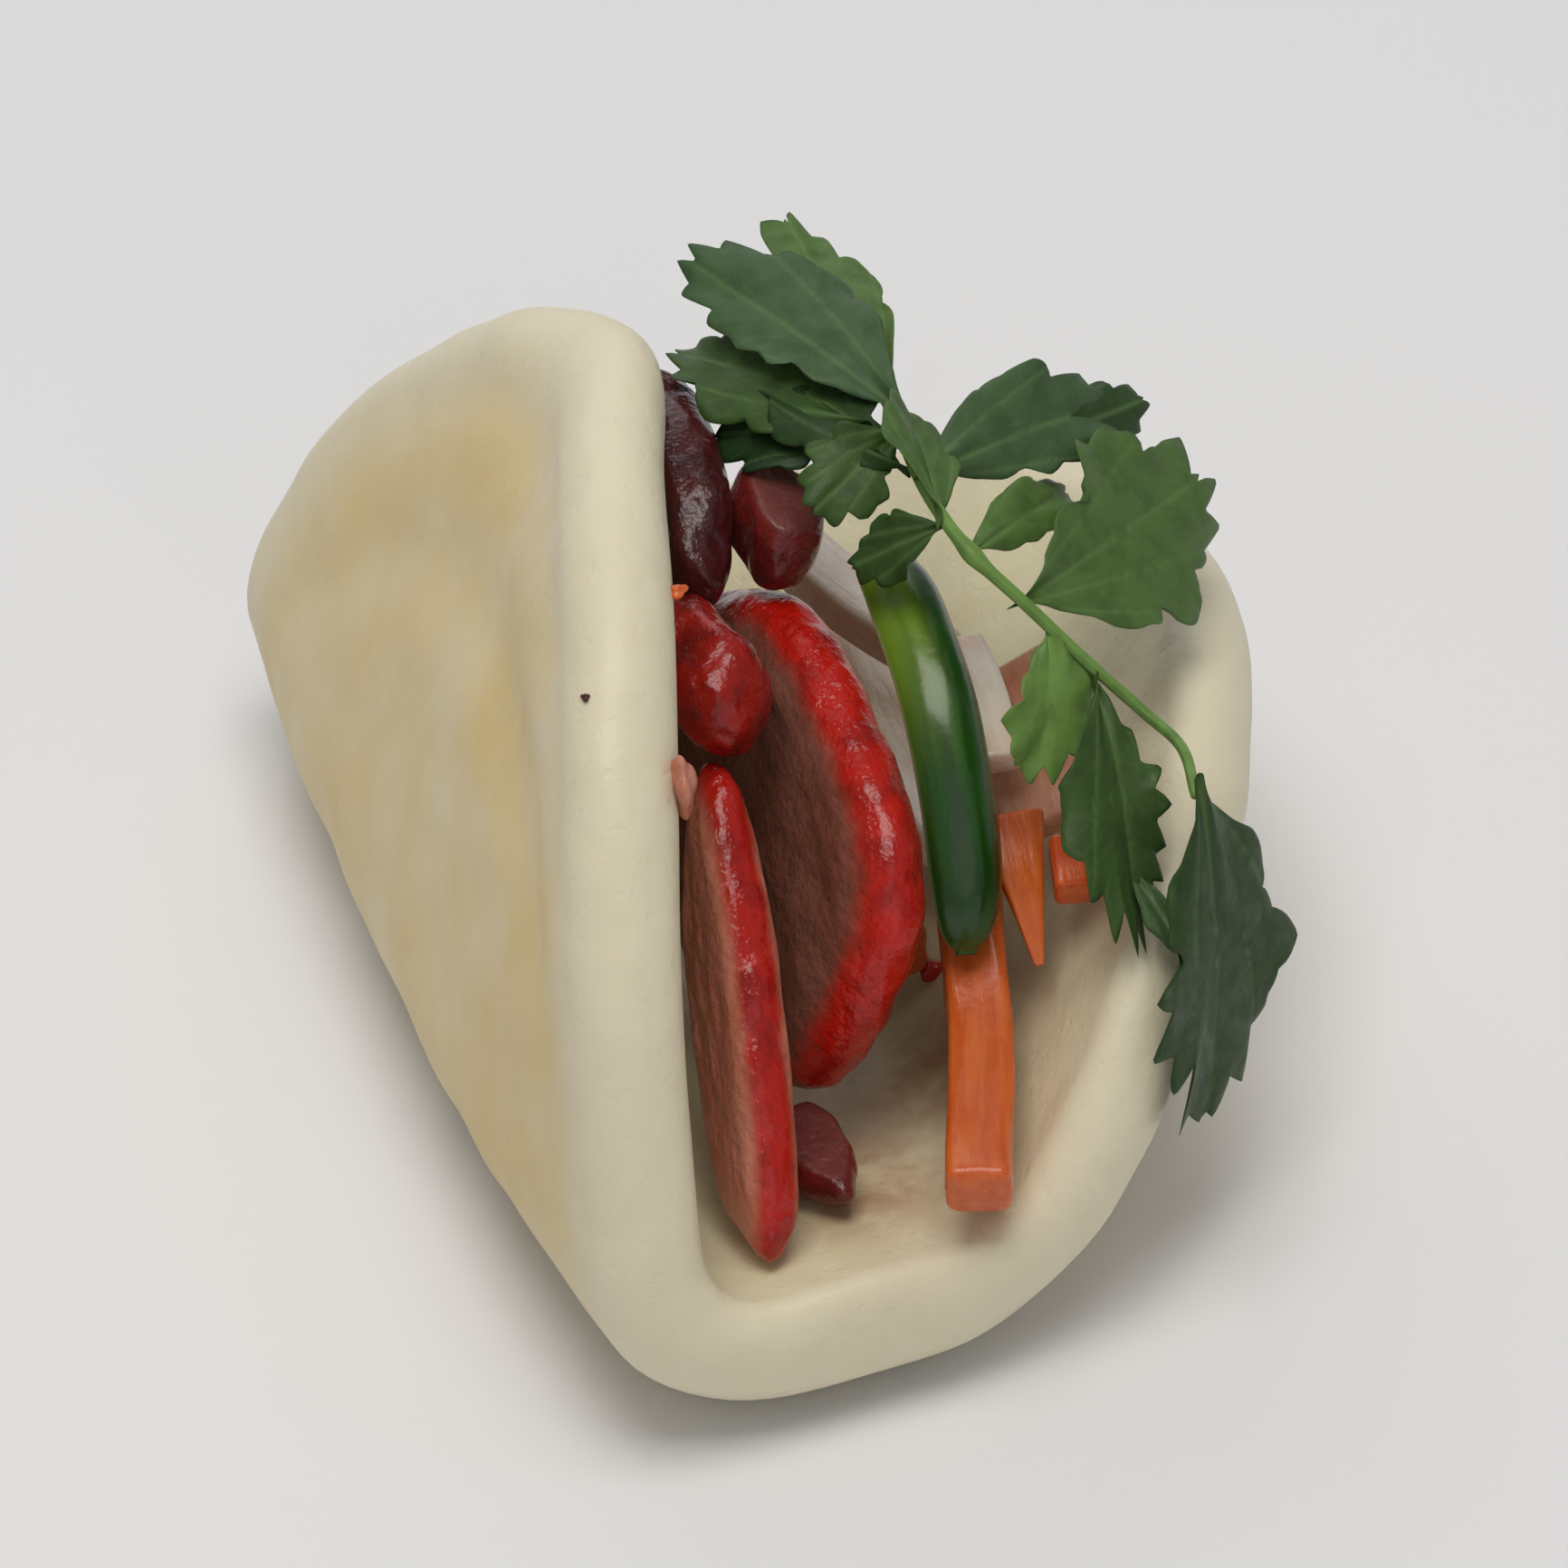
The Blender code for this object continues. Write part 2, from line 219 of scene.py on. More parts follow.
def ring_skin(
    rings: Grid, first: Grid, last: Grid, values: dict[str, tuple[Grid, float | Grid, float | Grid]]
) -> Skin:
    """Closes rings of points with a fan at each end.

    Args:
        rings: an array of rings by points on a ring by 3.
        first: the pole before the first ring.
        last: the pole after the last ring.
        values: for each name, the rings' values, the first pole's and the last pole's.

    Returns:
        The closed skin, its faces outwards where the rings run anticlockwise as seen from the first pole.
    """
    count, around = rings.shape[:2]
    index = np.arange(count * around).reshape(count, around)
    after = np.roll(index, -1, axis=1)
    quads = np.stack([index[:-1], after[:-1], after[1:], index[1:]], axis=-1).reshape(-1, 4)
    head, tail = count * around, count * around + 1
    fan = np.stack([np.full(around, head), after[0], index[0]], axis=-1)
    end = np.stack([np.full(around, tail), index[-1], after[-1]], axis=-1)
    vertices = np.concatenate([rings.reshape(-1, 3), [first], [last]])
    flat = {
        name: np.concatenate([grid.reshape(count * around, -1), np.atleast_2d(a), np.atleast_2d(b)])
        for name, (grid, a, b) in values.items()
    }
    return Skin(vertices, fan.tolist() + quads.tolist() + end.tolist(), flat)


def box_middle(points: Grid) -> Grid:
    """The middle of the box round some points."""
    return 0.5 * (points.min(axis=0) + points.max(axis=0))


def make_piece(
    name: str, skin: Skin, material: Material, nodes: tuple[str, ...] = ()
) -> bpy.types.Object:
    """Makes a smooth mesh object of a skin, riding on the root body.

    Args:
        name: the piece's name.
        skin: its surface, in millimetres.
        material: its finish.
        nodes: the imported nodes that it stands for.

    Returns:
        The new object.
    """
    mesh = bpy.data.meshes.new(name)
    mesh.from_pydata((skin.vertices * MM).tolist(), [], skin.faces)
    for label, grid in skin.values.items():
        kind, key = ("FLOAT", "value") if grid.shape[1] == 1 else ("FLOAT_VECTOR", "vector")
        attribute = mesh.attributes.new(label, kind, "POINT")
        attribute.data.foreach_set(key, grid.ravel().astype(np.float32))
    mesh.shade_smooth()
    mesh.materials.append(material)
    piece = bpy.data.objects.new(name, mesh)
    bpy.context.scene.collection.objects.link(piece)
    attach(piece, "root")
    if nodes:
        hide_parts(*nodes)
    log.info("%s: %d faces, stands for %s", name, len(mesh.polygons), ", ".join(nodes) or "nothing packed")
    return piece


# ---------------------------------------------------------------- finishes


class Shader:
    """One procedural material, put together node by node round a Principled BSDF."""

    def __init__(self, name: str, **fixed: float | tuple) -> None:
        """Starts the material, with values that are the same all over set on the shader's own sockets."""
        self.material = bpy.data.materials.new(name)
        self.material.use_nodes = True
        self.tree = self.material.node_tree
        self.surface = self.tree.nodes["Principled BSDF"]
        for socket, value in fixed.items():
            self.surface.inputs[socket.replace("_", " ").title().replace("Ior", "IOR")].default_value = value
        self.object_place = self.tree.nodes.new("ShaderNodeTexCoord").outputs["Object"]

    def feed(self, socket: Socket, value: object) -> None:
        """Links a socket to another, or sets its value."""
        if isinstance(value, Socket):
            self.tree.links.new(value, socket)
        else:
            socket.default_value = value

    def attribute(self, name: str) -> Socket:
        """A vertex value as a number."""
        node = self.tree.nodes.new("ShaderNodeAttribute")
        node.attribute_name = name
        return node.outputs["Fac"]

    def place(self, name: str | None = None, stretch: Vec = (1.0, 1.0, 1.0)) -> Socket:
        """A place in millimetres: a vertex vector's, or the object's own where no name is given.

        Args:
            name: the vertex vector to read.
            stretch: how many times the pattern runs faster along x, y and z.

        Returns:
            The place, for a texture to read.
        """
        node = self.tree.nodes.new("ShaderNodeMapping")
        if name is None:
            self.feed(node.inputs["Vector"], self.object_place)
            stretch = tuple(s / MM for s in stretch)
        else:
            source = self.tree.nodes.new("ShaderNodeAttribute")
            source.attribute_name = name
            self.feed(node.inputs["Vector"], source.outputs["Vector"])
        node.inputs["Scale"].default_value = stretch
        return node.outputs["Vector"]

    def noise(
        self, place: Socket, size: float, detail: float = 3.0, rough: float = 0.5, twist: float = 0.0
    ) -> Socket:
        """Fractal noise whose blobs are about size millimetres wide.

        Args:
            place: where to read the noise.
            size: the width of a blob.
            detail: how many finer layers are added.
            rough: how strong each finer layer is.
            twist: how far the blobs are dragged about.

        Returns:
            The noise, 0..1.
        """
        node = self.tree.nodes.new("ShaderNodeTexNoise")
        self.feed(node.inputs["Vector"], place)
        node.inputs["Scale"].default_value = 1.0 / size
        node.inputs["Detail"].default_value = detail
        node.inputs["Roughness"].default_value = rough
        node.inputs["Distortion"].default_value = twist
        return node.outputs["Fac"]

    def calc(self, operation: str, a: object, b: object = 0.0) -> Socket:
        """A math node on two values."""
        node = self.tree.nodes.new("ShaderNodeMath")
        node.operation = operation
        self.feed(node.inputs[0], a)
        self.feed(node.inputs[1], b)
        return node.outputs[0]

    def remap(
        self, value: Socket, low: float, high: float, to_low: float = 0.0, to_high: float = 1.0
    ) -> Socket:
        """Carries low..high onto to_low..to_high along a smooth step.

        Args:
            value: the number to carry.
            low: what becomes to_low.
            high: what becomes to_high.
            to_low: the result at and below low.
            to_high: the result at and above high.

        Returns:
            The result.
        """
        node = self.tree.nodes.new("ShaderNodeMapRange")
        node.interpolation_type = "SMOOTHSTEP"
        self.feed(node.inputs["Value"], value)
        for socket, number in zip(("From Min", "From Max", "To Min", "To Max"), (low, high, to_low, to_high)):
            node.inputs[socket].default_value = number
        return node.outputs["Result"]

    def mottle(
        self,
        place: Socket,
        size: float,
        detail: float,
        span: Span,
        onto: Span = (0.0, 1.0),
        rough: float = 0.5,
    ) -> Socket:
        """Patches of about size millimetres: noise, a span of its values carried onto another.

        Args:
            place: where to read the noise.
            size: the width of a patch.
            detail: how many finer layers are added.
            span: the low and high noise values that are carried.
            onto: what they become.
            rough: how strong each finer layer is.

        Returns:
            The patches, as a number.
        """
        return self.remap(self.noise(place, size, detail, rough), *span, *onto)

    def blend(self, share: object, a: object, b: object) -> Socket:
        """A colour that goes from a to b.

        Args:
            share: how much of b there is, 0..1.
            a: the first colour, or a socket.
            b: the second colour, or a socket.

        Returns:
            The mixed colour.
        """
        node = self.tree.nodes.new("ShaderNodeMix")
        node.data_type = "RGBA"
        self.feed(node.inputs["Factor"], share)
        colours = [s for s in node.inputs if s.type == "RGBA"]
        self.feed(colours[0], a if isinstance(a, Socket) else (*a, 1.0))
        self.feed(colours[1], b if isinstance(b, Socket) else (*b, 1.0))
        return [s for s in node.outputs if s.type == "RGBA"][0]

    def bump(self, height: Socket, depth: float, under: Socket | None = None) -> Socket:
        """A bumped normal whose height of 1 stands depth millimetres proud.

        Args:
            height: the height, 0..1.
            depth: what a height of 1 stands for.
            under: a normal that is bumped already.

        Returns:
            The new normal.
        """
        node = self.tree.nodes.new("ShaderNodeBump")
        node.inputs["Strength"].default_value = 1.0
        node.inputs["Distance"].default_value = depth * MM
        self.feed(node.inputs["Height"], height)
        if under is not None:
            self.feed(node.inputs["Normal"], under)
        return node.outputs["Normal"]

    def finish(self, colour: Socket, roughness: object, normal: Socket) -> Material:
        """Links the colour, roughness and normal, and returns the material.

        Args:
            colour: the base colour.
            roughness: a number or a socket.
            normal: the bumped normal.

        Returns:
            The finished material.
        """
        self.feed(self.surface.inputs["Base Color"], colour)
        self.feed(self.surface.inputs["Roughness"], roughness)
        self.feed(self.surface.inputs["Normal"], normal)
        return self.material


@dataclass(frozen=True)
class DoughFinish:
    """Steamed dough: a cream skin, yellower on its outer face partly by its own tint and partly by painted
    warm reflected light and shade, with dimples, and stains from the filling that also carry painted shade in
    the fold.
    """

    skin: Vec = (0.775, 0.710, 0.520)
    # Outer face: the skin's own yellower tint together with painted warm reflected light and shade.
    outside: Vec = (0.71, 0.540, 0.240)
    inside: Vec = (0.83, 0.775, 0.520)
    dull: Vec = (0.64, 0.57, 0.37)
    # Brown of the filling's juices, dark enough to paint the shade in the fold as well.
    stain: Vec = (0.36, 0.16, 0.065)

    def make(self) -> Material:
        """The dough's material."""
        shader = Shader(
            "steamed_dough",
            subsurface_weight=0.16,
            subsurface_scale=0.0018,
            ior=1.42,
            coat_weight=0.10,
            coat_roughness=0.28,
        )
        shader.surface.inputs["Subsurface Radius"].default_value = (1.0, 0.72, 0.42)
        place = shader.place()
        toasted = shader.mottle(place, 14.0, 2.0, (0.3, 0.7), (0.55, 1.0))
        # Painted reflection and shade: the outer face is tinted yellow-brown in patches, on top of the skin's
        # own yellower tint.
        colour = shader.blend(
            shader.calc("MULTIPLY", shader.attribute("outside"), toasted), self.skin, self.outside
        )
        colour = shader.blend(shader.attribute("inside"), colour, self.inside)
        dull = shader.mottle(place, 3.5, 4.0, (0.45, 0.75), (0.0, 0.16), 0.6)
        colour = shader.blend(dull, colour, self.dull)
        # Painted shade: patches of the juices' brown, strongest in the fold by the pork, where shade falls.
        soaked = shader.mottle(place, 5.0, 4.0, (0.30, 0.66), (0.35, 0.90), 0.6)
        colour = shader.blend(shader.calc("MULTIPLY", shader.attribute("stain"), soaked), colour, self.stain)
        normal = shader.bump(shader.noise(place, 4.5, 2.0), 0.30)
        pores = shader.mottle(place, 1.1, 1.0, (0.28, 0.42))
        normal = shader.bump(pores, 0.030, normal)
        rough = shader.mottle(place, 6.0, 3.0, (0.3, 0.7), (0.40, 0.56))
        return shader.finish(colour, rough, normal)


@dataclass(frozen=True)
class PorkFinish:
    """Roast pork: a fibrous cut face inside a bright, sticky, lumpy glazed crust."""

    name: str
    glaze: Vec
    glaze_dark: Vec
    meat: Vec
    meat_pale: Vec

    def make(self) -> Material:
        """The pork's material."""
        shader = Shader(
            self.name,
            subsurface_weight=0.10,
            subsurface_scale=0.0012,
            ior=1.42,
            specular_ior_level=0.4,
            coat_weight=0.24,
            coat_roughness=0.10,
        )
        shader.surface.inputs["Subsurface Radius"].default_value = (1.0, 0.25, 0.15)
        place = shader.place()
        grain = shader.place("grain", (0.28, 1.0, 1.0))
        crust = shader.attribute("crust")
        fibres = shader.noise(grain, 0.8, 4.0, 0.62, 0.4)
        meat = shader.blend(shader.remap(fibres, 0.30, 0.72, 0.0, 0.55), self.meat, self.meat_pale)
        marbled = shader.mottle(place, 6.0, 2.0, (0.38, 0.66), (0.0, 0.8))
        meat = shader.blend(marbled, meat, self.meat_pale)
        thick = shader.mottle(place, 3.2, 4.0, (0.40, 0.70), rough=0.6)
        glaze = shader.blend(thick, self.glaze, self.glaze_dark)
        ragged = shader.calc("MULTIPLY", shader.noise(place, 2.4, 3.0), 0.34)
        edge = shader.remap(shader.calc("ADD", crust, ragged), 0.16, 0.92)
        colour = shader.blend(edge, meat, glaze)
        normal = shader.bump(shader.noise(place, 1.6, 3.0, 0.55), 0.26)
        normal = shader.bump(fibres, 0.08, normal)
        normal = shader.bump(shader.noise(place, 0.8, 2.0), 0.09, normal)
        normal = shader.bump(shader.noise(place, 0.35, 2.0), 0.03, normal)
        rough = shader.remap(edge, 0.0, 1.0, 0.40, 0.17)
        return shader.finish(colour, rough, normal)


@dataclass(frozen=True)
class RootFinish:
    """A pickled root vegetable: moist, a little see-through, with fibres along the stick."""

    name: str
    flesh: Vec
    streak: Vec
    soak: Vec
    soaked: float
    depth: float
    see_through: float

    def make(self) -> Material:
        """The vegetable's material."""
        shader = Shader(
            self.name,
            subsurface_weight=self.see_through,
            subsurface_scale=self.depth * MM,
            ior=1.40,
            coat_weight=0.35,
            coat_roughness=0.12,
        )
        shader.surface.inputs["Subsurface Radius"].default_value = (1.0, 0.55, 0.25)
        along = shader.place("grain", (0.10, 1.0, 1.0))
        place = shader.place()
        fibres = shader.noise(along, 0.9, 4.0, 0.6)
        colour = shader.blend(shader.remap(fibres, 0.35, 0.68), self.flesh, self.streak)
        soaked = shader.mottle(place, 5.0, 3.0, (0.40, 0.70), (0.0, self.soaked))
        colour = shader.blend(soaked, colour, self.soak)
        normal = shader.bump(fibres, 0.14)
        normal = shader.bump(shader.noise(place, 0.7, 3.0), 0.05, normal)
        rough = shader.mottle(place, 3.0, 2.0, (0.3, 0.7), (0.22, 0.42))
        return shader.finish(colour, rough, normal)


@dataclass(frozen=True)
class PepperFinish:
    """Green pepper: dark waxy skin with a yellow-green patch, and pale flesh at its cut edges."""

    skin: Vec = (0.009, 0.045, 0.004)
    streak: Vec = (0.0171, 0.0855, 0.0076)
    patch: Vec = (0.130, 0.230, 0.012)
    flesh: Vec = (0.42, 0.50, 0.27)

    def make(self) -> Material:
        """The pepper's material."""
        shader = Shader(
            "green_pepper",
            subsurface_weight=0.08,
            subsurface_scale=0.001,
            ior=1.44,
            specular_ior_level=0.4,
            coat_weight=0.35,
            coat_roughness=0.16,
        )
        place = shader.place()
        streaks = shader.noise(shader.place("grain", (0.12, 1.0, 1.0)), 1.3, 3.0)
        skin = shader.blend(shader.remap(streaks, 0.35, 0.7), self.skin, self.streak)
        patch = shader.calc("MULTIPLY", shader.attribute("patch"), shader.remap(streaks, 0.2, 0.6, 0.7, 1.0))
        skin = shader.blend(patch, skin, self.patch)
        colour = shader.blend(shader.attribute("cut"), skin, self.flesh)
        normal = shader.bump(shader.noise(place, 2.2, 2.0), 0.12)
        normal = shader.bump(shader.noise(place, 0.3, 2.0), 0.010, normal)
        return shader.finish(colour, shader.remap(streaks, 0.3, 0.7, 0.24, 0.36), normal)


@dataclass(frozen=True)
class HerbFinish:
    """Coriander: soft green blades with paler veins; each leaf's green runs from dark to bright, partly its
    own colour and partly painted shade and light, and some leaves are sage.
    """

    dark: Vec = (0.013, 0.038, 0.009)
    bright: Vec = (0.155, 0.285, 0.060)
    sage: Vec = (0.064, 0.118, 0.055)
    vein: Vec = (0.200, 0.330, 0.110)

    def make(self) -> Material:
        """The coriander's material."""
        shader = Shader("coriander_leaf", ior=1.38, specular_ior_level=0.35)
        place = shader.place()
        # Painted shade and light: leaves lying in shadow take the dark green and lit leaves the bright, on
        # top of their own differences.
        colour = shader.blend(shader.attribute("tone"), self.dark, self.bright)
        colour = shader.blend(shader.attribute("sage"), colour, self.sage)
        blotches = shader.mottle(place, 2.4, 4.0, (0.40, 0.72), (0.0, 0.35))
        colour = shader.blend(blotches, colour, self.dark)
        veins = shader.attribute("vein")
        colour = shader.blend(shader.calc("MULTIPLY", veins, 0.26), colour, self.vein)
        normal = shader.bump(veins, 0.05)
        normal = shader.bump(shader.noise(place, 0.8, 3.0), 0.07, normal)
        rough = shader.mottle(place, 2.0, 2.0, (0.3, 0.7), (0.40, 0.58))
        return shader.finish(colour, rough, normal)


@dataclass(frozen=True)
class FloorFinish:
    """A plain pale table top."""

    colour: Vec = (0.87, 0.87, 0.88)
    cloud: Vec = (0.83, 0.83, 0.84)
    roughness: float = 0.75

    def make(self) -> Material:
        """The table's material."""
        shader = Shader("pale_table", specular_ior_level=0.2)
        place = shader.place()
        clouds = shader.mottle(place, 60.0, 2.0, (0.3, 0.7), (0.0, 0.05))
        colour = shader.blend(clouds, self.colour, self.cloud)
        return shader.finish(colour, self.roughness, shader.bump(shader.noise(place, 2.0, 2.0), 0.02))


# ---------------------------------------------------------------- the dough


@dataclass(frozen=True)
class Flap:
    """One flap of the folded dough: its side, its arc from fold to rim, and how it bends and leans."""

    side: float
    arc: float
    bend: float
    slope: float
    twist: float
    curl: float
    shift: float
    corner: float


@dataclass(frozen=True)
class Valley:
    """A soft valley beside the rim: its depth, distance from the rim, drift along the fold and half-width."""

    depth: float
    from_rim: float
    drift: float
    reach: float


@dataclass
class FoldedDough:
    """The bun itself: one oval of dough folded along its long axis, standing on its fold."""

    left: Flap = Flap(
        side=-1.0, arc=66.5, bend=19.5, slope=math.radians(102),
        twist=0.21, curl=0.20, shift=0.6, corner=3.0,
    )
    right: Flap = Flap(
        side=1.0, arc=55.5, bend=20.0, slope=math.radians(39),
        twist=-0.27, curl=0.07, shift=0.0, corner=0.0,
    )
    thickness: float = 8.6
    fold_extra: float = 1.2
    oval_power: float = 2.15
    flat_arc: float = 3.0
    pressed: float = 1.0
    end_lift: float = 4.0
    puff: float = 2.6
    corner_place: float = 13.0
    corner_reach: float = 11.0
    valley_length: float = 0.62
    valley_share_right: float = 0.5
    heart: Vec = (10.0, 0.0, 30.0)
    unevenness: tuple[tuple[float, float, int], ...] = ((0.30, 26.0, 3), (0.10, 9.0, 4))
    valleys: tuple[Valley, ...] = (
        Valley(depth=0.50, from_rim=7.0, drift=0.0, reach=2.6),
        Valley(depth=1.25, from_rim=19.0, drift=0.10, reach=4.6),
    )
    # Each row is a place's x, y and z where the filling's juices have soaked the dough and painted shade
    # darkens it in the fold, and how far this has spread.
    juice: tuple[tuple[float, float, float, float], ...] = (
        (5.0, -33.0, 10.0, 9.0),
        (-4.5, -26.0, 26.0, 8.0),
        (13.0, -24.0, 13.0, 9.0),
        (-3.0, -10.0, 46.0, 5.0),
        (0.0, 20.0, 16.0, 16.0),
    )
    around: int = 380
    face_rings: int = 74
    rim_steps: int = 26
    bend_steps: int = 48

    @property
    def half_length(self) -> float:
        """Half of the fold's length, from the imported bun."""
        low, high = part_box("bun")
        return 0.5 * (high[1] - low[1]) / MM

    def fold_line(self, flap: Flap, along: Grid, arc: Grid) -> tuple[Grid, Grid, Grid]:
        """Where the middle of the dough runs: the summed cosine and sine of a slope that grows over the bend.

        Args:
            flap: the flap that the points are on.
            along: their places along the fold.
            arc: their arc lengths from the fold.

        Returns:
            Their sideways place, height and slope.
        """
        steps = arc[..., None] * np.linspace(0.0, 1.0, self.bend_steps)
        turn = smooth_step(self.flat_arc, self.flat_arc + flap.bend, steps)
        start = self.flat_arc + flap.bend
        beyond = np.maximum(steps - start, 0.0) / (flap.arc - start)
        slope = turn * (flap.slope + flap.twist * along[..., None] / self.half_length) + flap.curl * beyond
        ends = np.full(self.bend_steps, 1.0)
        ends[[0, -1]] = 0.5
        weight = ends / ends.sum()
        return arc * (np.cos(slope) @ weight), arc * (np.sin(slope) @ weight), slope[..., -1]

    def dents(self, flap: Flap, along: Grid, arc: Grid, height: Grid) -> Grid:
        """How far the skin sinks: soft valleys that run beside the rim of the outer side, as bell curves.

        Args:
            flap: the flap that the points are on.
            along: their places along the fold.
            arc: their arc lengths from the fold.
            height: 1 on the inner face, -1 on the outer.

        Returns:
            The depth at each point.
        """
        rim = flap.arc * np.sqrt(np.clip(1.0 - (along / self.half_length) ** 2, 0.0, 1.0))
        inwards = rim - arc
        outer = smooth_step(0.2, 0.9, -height)
        reach = np.exp(-((along / (self.valley_length * self.half_length)) ** 4))
        sunk = sum(
            valley.depth * np.exp(-(((inwards - valley.from_rim - valley.drift * along) / valley.reach) ** 2))
            for valley in self.valleys
        )
        return outer * reach * sunk * (1.0 if flap.side < 0 else self.valley_share_right)

    def flap_points(self, flap: Flap, radius: Grid, height: Grid, angle: Grid) -> Grid:
        """Points of one flap: the fold line, plus half the dough's thickness along its normal.

        The top of the flap leans inwards near one place along the fold, by a bell curve.

        Args:
            flap: the flap.
            radius: how near the rim each point is, 0..1.
            height: 1 on the inner face, -1 on the outer.
            angle: its heading round the oval, from along the fold.

        Returns:
            The points.
        """
        across = np.abs(np.sin(angle)) ** (2 / self.oval_power)
        along = self.half_length * radius * signed_power(np.cos(angle), 2 / self.oval_power)
        arc = flap.arc * radius * across
        sideways, rise, slope = self.fold_line(flap, along, arc)
        swell = self.puff * np.clip(1.0 - radius**2, 0.0, 1.0) * np.minimum(arc / flap.bend, 1.0)
        under = np.exp(-((arc / (self.flat_arc + 0.5 * flap.bend)) ** 2))
        offset = 0.5 * (self.thickness + self.fold_extra * under) * height - swell
        offset = offset + self.dents(flap, along, arc, height)
        bell = np.exp(-(((along - self.corner_place) / self.corner_reach) ** 2))
        corner = flap.corner * bell * (arc / flap.arc) ** 4
        x = flap.side * (sideways - offset * np.sin(slope)) + corner
        y = along + flap.shift * (arc / flap.arc) ** 2
        z = rise + offset * np.cos(slope) + self.end_lift * np.abs(along / self.half_length) ** 3
        floor = -0.5 * (self.thickness + self.fold_extra) + self.pressed
        return np.stack([x, y, z - floor], axis=-1)

    def points(self, radius: Grid, height: Grid, angle: Grid) -> Grid:
        """Points of the whole dough, uneven by slow waves, and pressed flat where it rests.

        Args:
            radius: how near the rim each point is, 0..1.
            height: 1 on the inner face, -1 on the outer.
            angle: its heading round the oval, from along the fold.

        Returns:
            The points.
        """
        right = self.flap_points(self.right, radius, height, angle)
        left = self.flap_points(self.left, radius, height, angle)
        points = np.where((np.sin(angle) >= 0)[..., None], right, left)
        outward = points - np.array(self.heart)
        outward /= np.linalg.norm(outward, axis=-1, keepdims=True)
        uneven = bumpy(points, self.unevenness)
        points = points + outward * (uneven * smooth_step(0.0, 6.0, points[..., 2]))[..., None]
        points[..., 2] = np.maximum(points[..., 2], 0.0)
        return points

    def stain(self, points: Grid) -> Grid:
        """How much the filling's juices have soaked the dough, with painted shade in the fold: a bell round
        each place where pork lies against the dough.

        Args:
            points: places on the dough.

        Returns:
            The soaking and painted shade at each place, 0..1.
        """
        amount = np.zeros(points.shape[:-1])
        for x, y, z, reach in self.juice:
            amount = np.maximum(amount, np.exp(-(((points - (x, y, z)) / reach) ** 2).sum(axis=-1)))
        return amount

    def build(self) -> None:
        """Makes the dough piece."""
        radius, height = pillow_profile(self.face_rings, self.rim_steps, 0.5 * self.thickness / self.left.arc)
        turn = full_turn(self.around)
        r, a = np.meshgrid(radius, turn, indexing="ij")
        h = np.repeat(height[:, None], self.around, axis=1)
        rings = self.points(r, h, a)
        poles = self.points(np.zeros((2, 1)), np.array([[1.0], [-1.0]]), np.zeros((2, 1)))[:, 0]
        # The outer face, where the yellow tint and its painted warm reflection and shade go.
        outside = smooth_step(0.0, 0.9, -h) * smooth_step(0.99, 0.80, r)
        inside = smooth_step(0.0, 0.9, h) * smooth_step(0.99, 0.85, r)
        # Juices soaked in and painted shade, on the inner face in the fold by the pork.
        stain = self.stain(rings) * smooth_step(-0.4, 0.4, h)
        values = {"outside": (outside, 0.0, 1.0), "inside": (inside, 1.0, 0.0), "stain": (stain, 0.0, 0.0)}
        skin = ring_skin(rings, poles[0], poles[1], values)
        make_piece("folded_bun", skin, DoughFinish().make(), ("bun",))


# ---------------------------------------------------------------- the pork


class Roast(Enum):
    """How a piece of pork is roasted: a bright, deep or muted glaze, a dark glaze that also stands for
    painted shade on a slice lying in shadow, or a pale cut face lightened by painted light.
    """

    BRIGHT = PorkFinish(
        "pork_bright_glaze", glaze=(0.50, 0.010, 0.004), glaze_dark=(0.30, 0.006, 0.003),
        meat=(0.160, 0.050, 0.031), meat_pale=(0.255, 0.098, 0.068),
    )
    DEEP = PorkFinish(
        "pork_deep_glaze", glaze=(0.33, 0.008, 0.004), glaze_dark=(0.14, 0.004, 0.003),
        meat=(0.160, 0.050, 0.031), meat_pale=(0.255, 0.098, 0.068),
    )
    # Painted light: the meat is pale pink, and made lighter still so that the left slice's cut face looks lit
    # though it lies in shade.
    PALE_CUT = PorkFinish(
        "pork_pale_and_lit_cut", glaze=(0.46, 0.011, 0.005), glaze_dark=(0.28, 0.007, 0.004),
        meat=(0.470, 0.140, 0.085), meat_pale=(0.570, 0.230, 0.155),
    )
    MUTED = PorkFinish(
        "pork_muted_glaze", glaze=(0.175, 0.016, 0.014), glaze_dark=(0.105, 0.010, 0.009),
        meat=(0.130, 0.030, 0.026), meat_pale=(0.190, 0.052, 0.045),
    )
    # Painted shade: this near-black glaze darkens the rear slice, which lies in shadow; on the roast speck it
    # is the speck's own dark colour.
    DARK = PorkFinish(
        "pork_dark_and_shaded_glaze", glaze=(0.075, 0.012, 0.012), glaze_dark=(0.045, 0.007, 0.008),
        meat=(0.070, 0.020, 0.020), meat_pale=(0.100, 0.030, 0.030),
    )


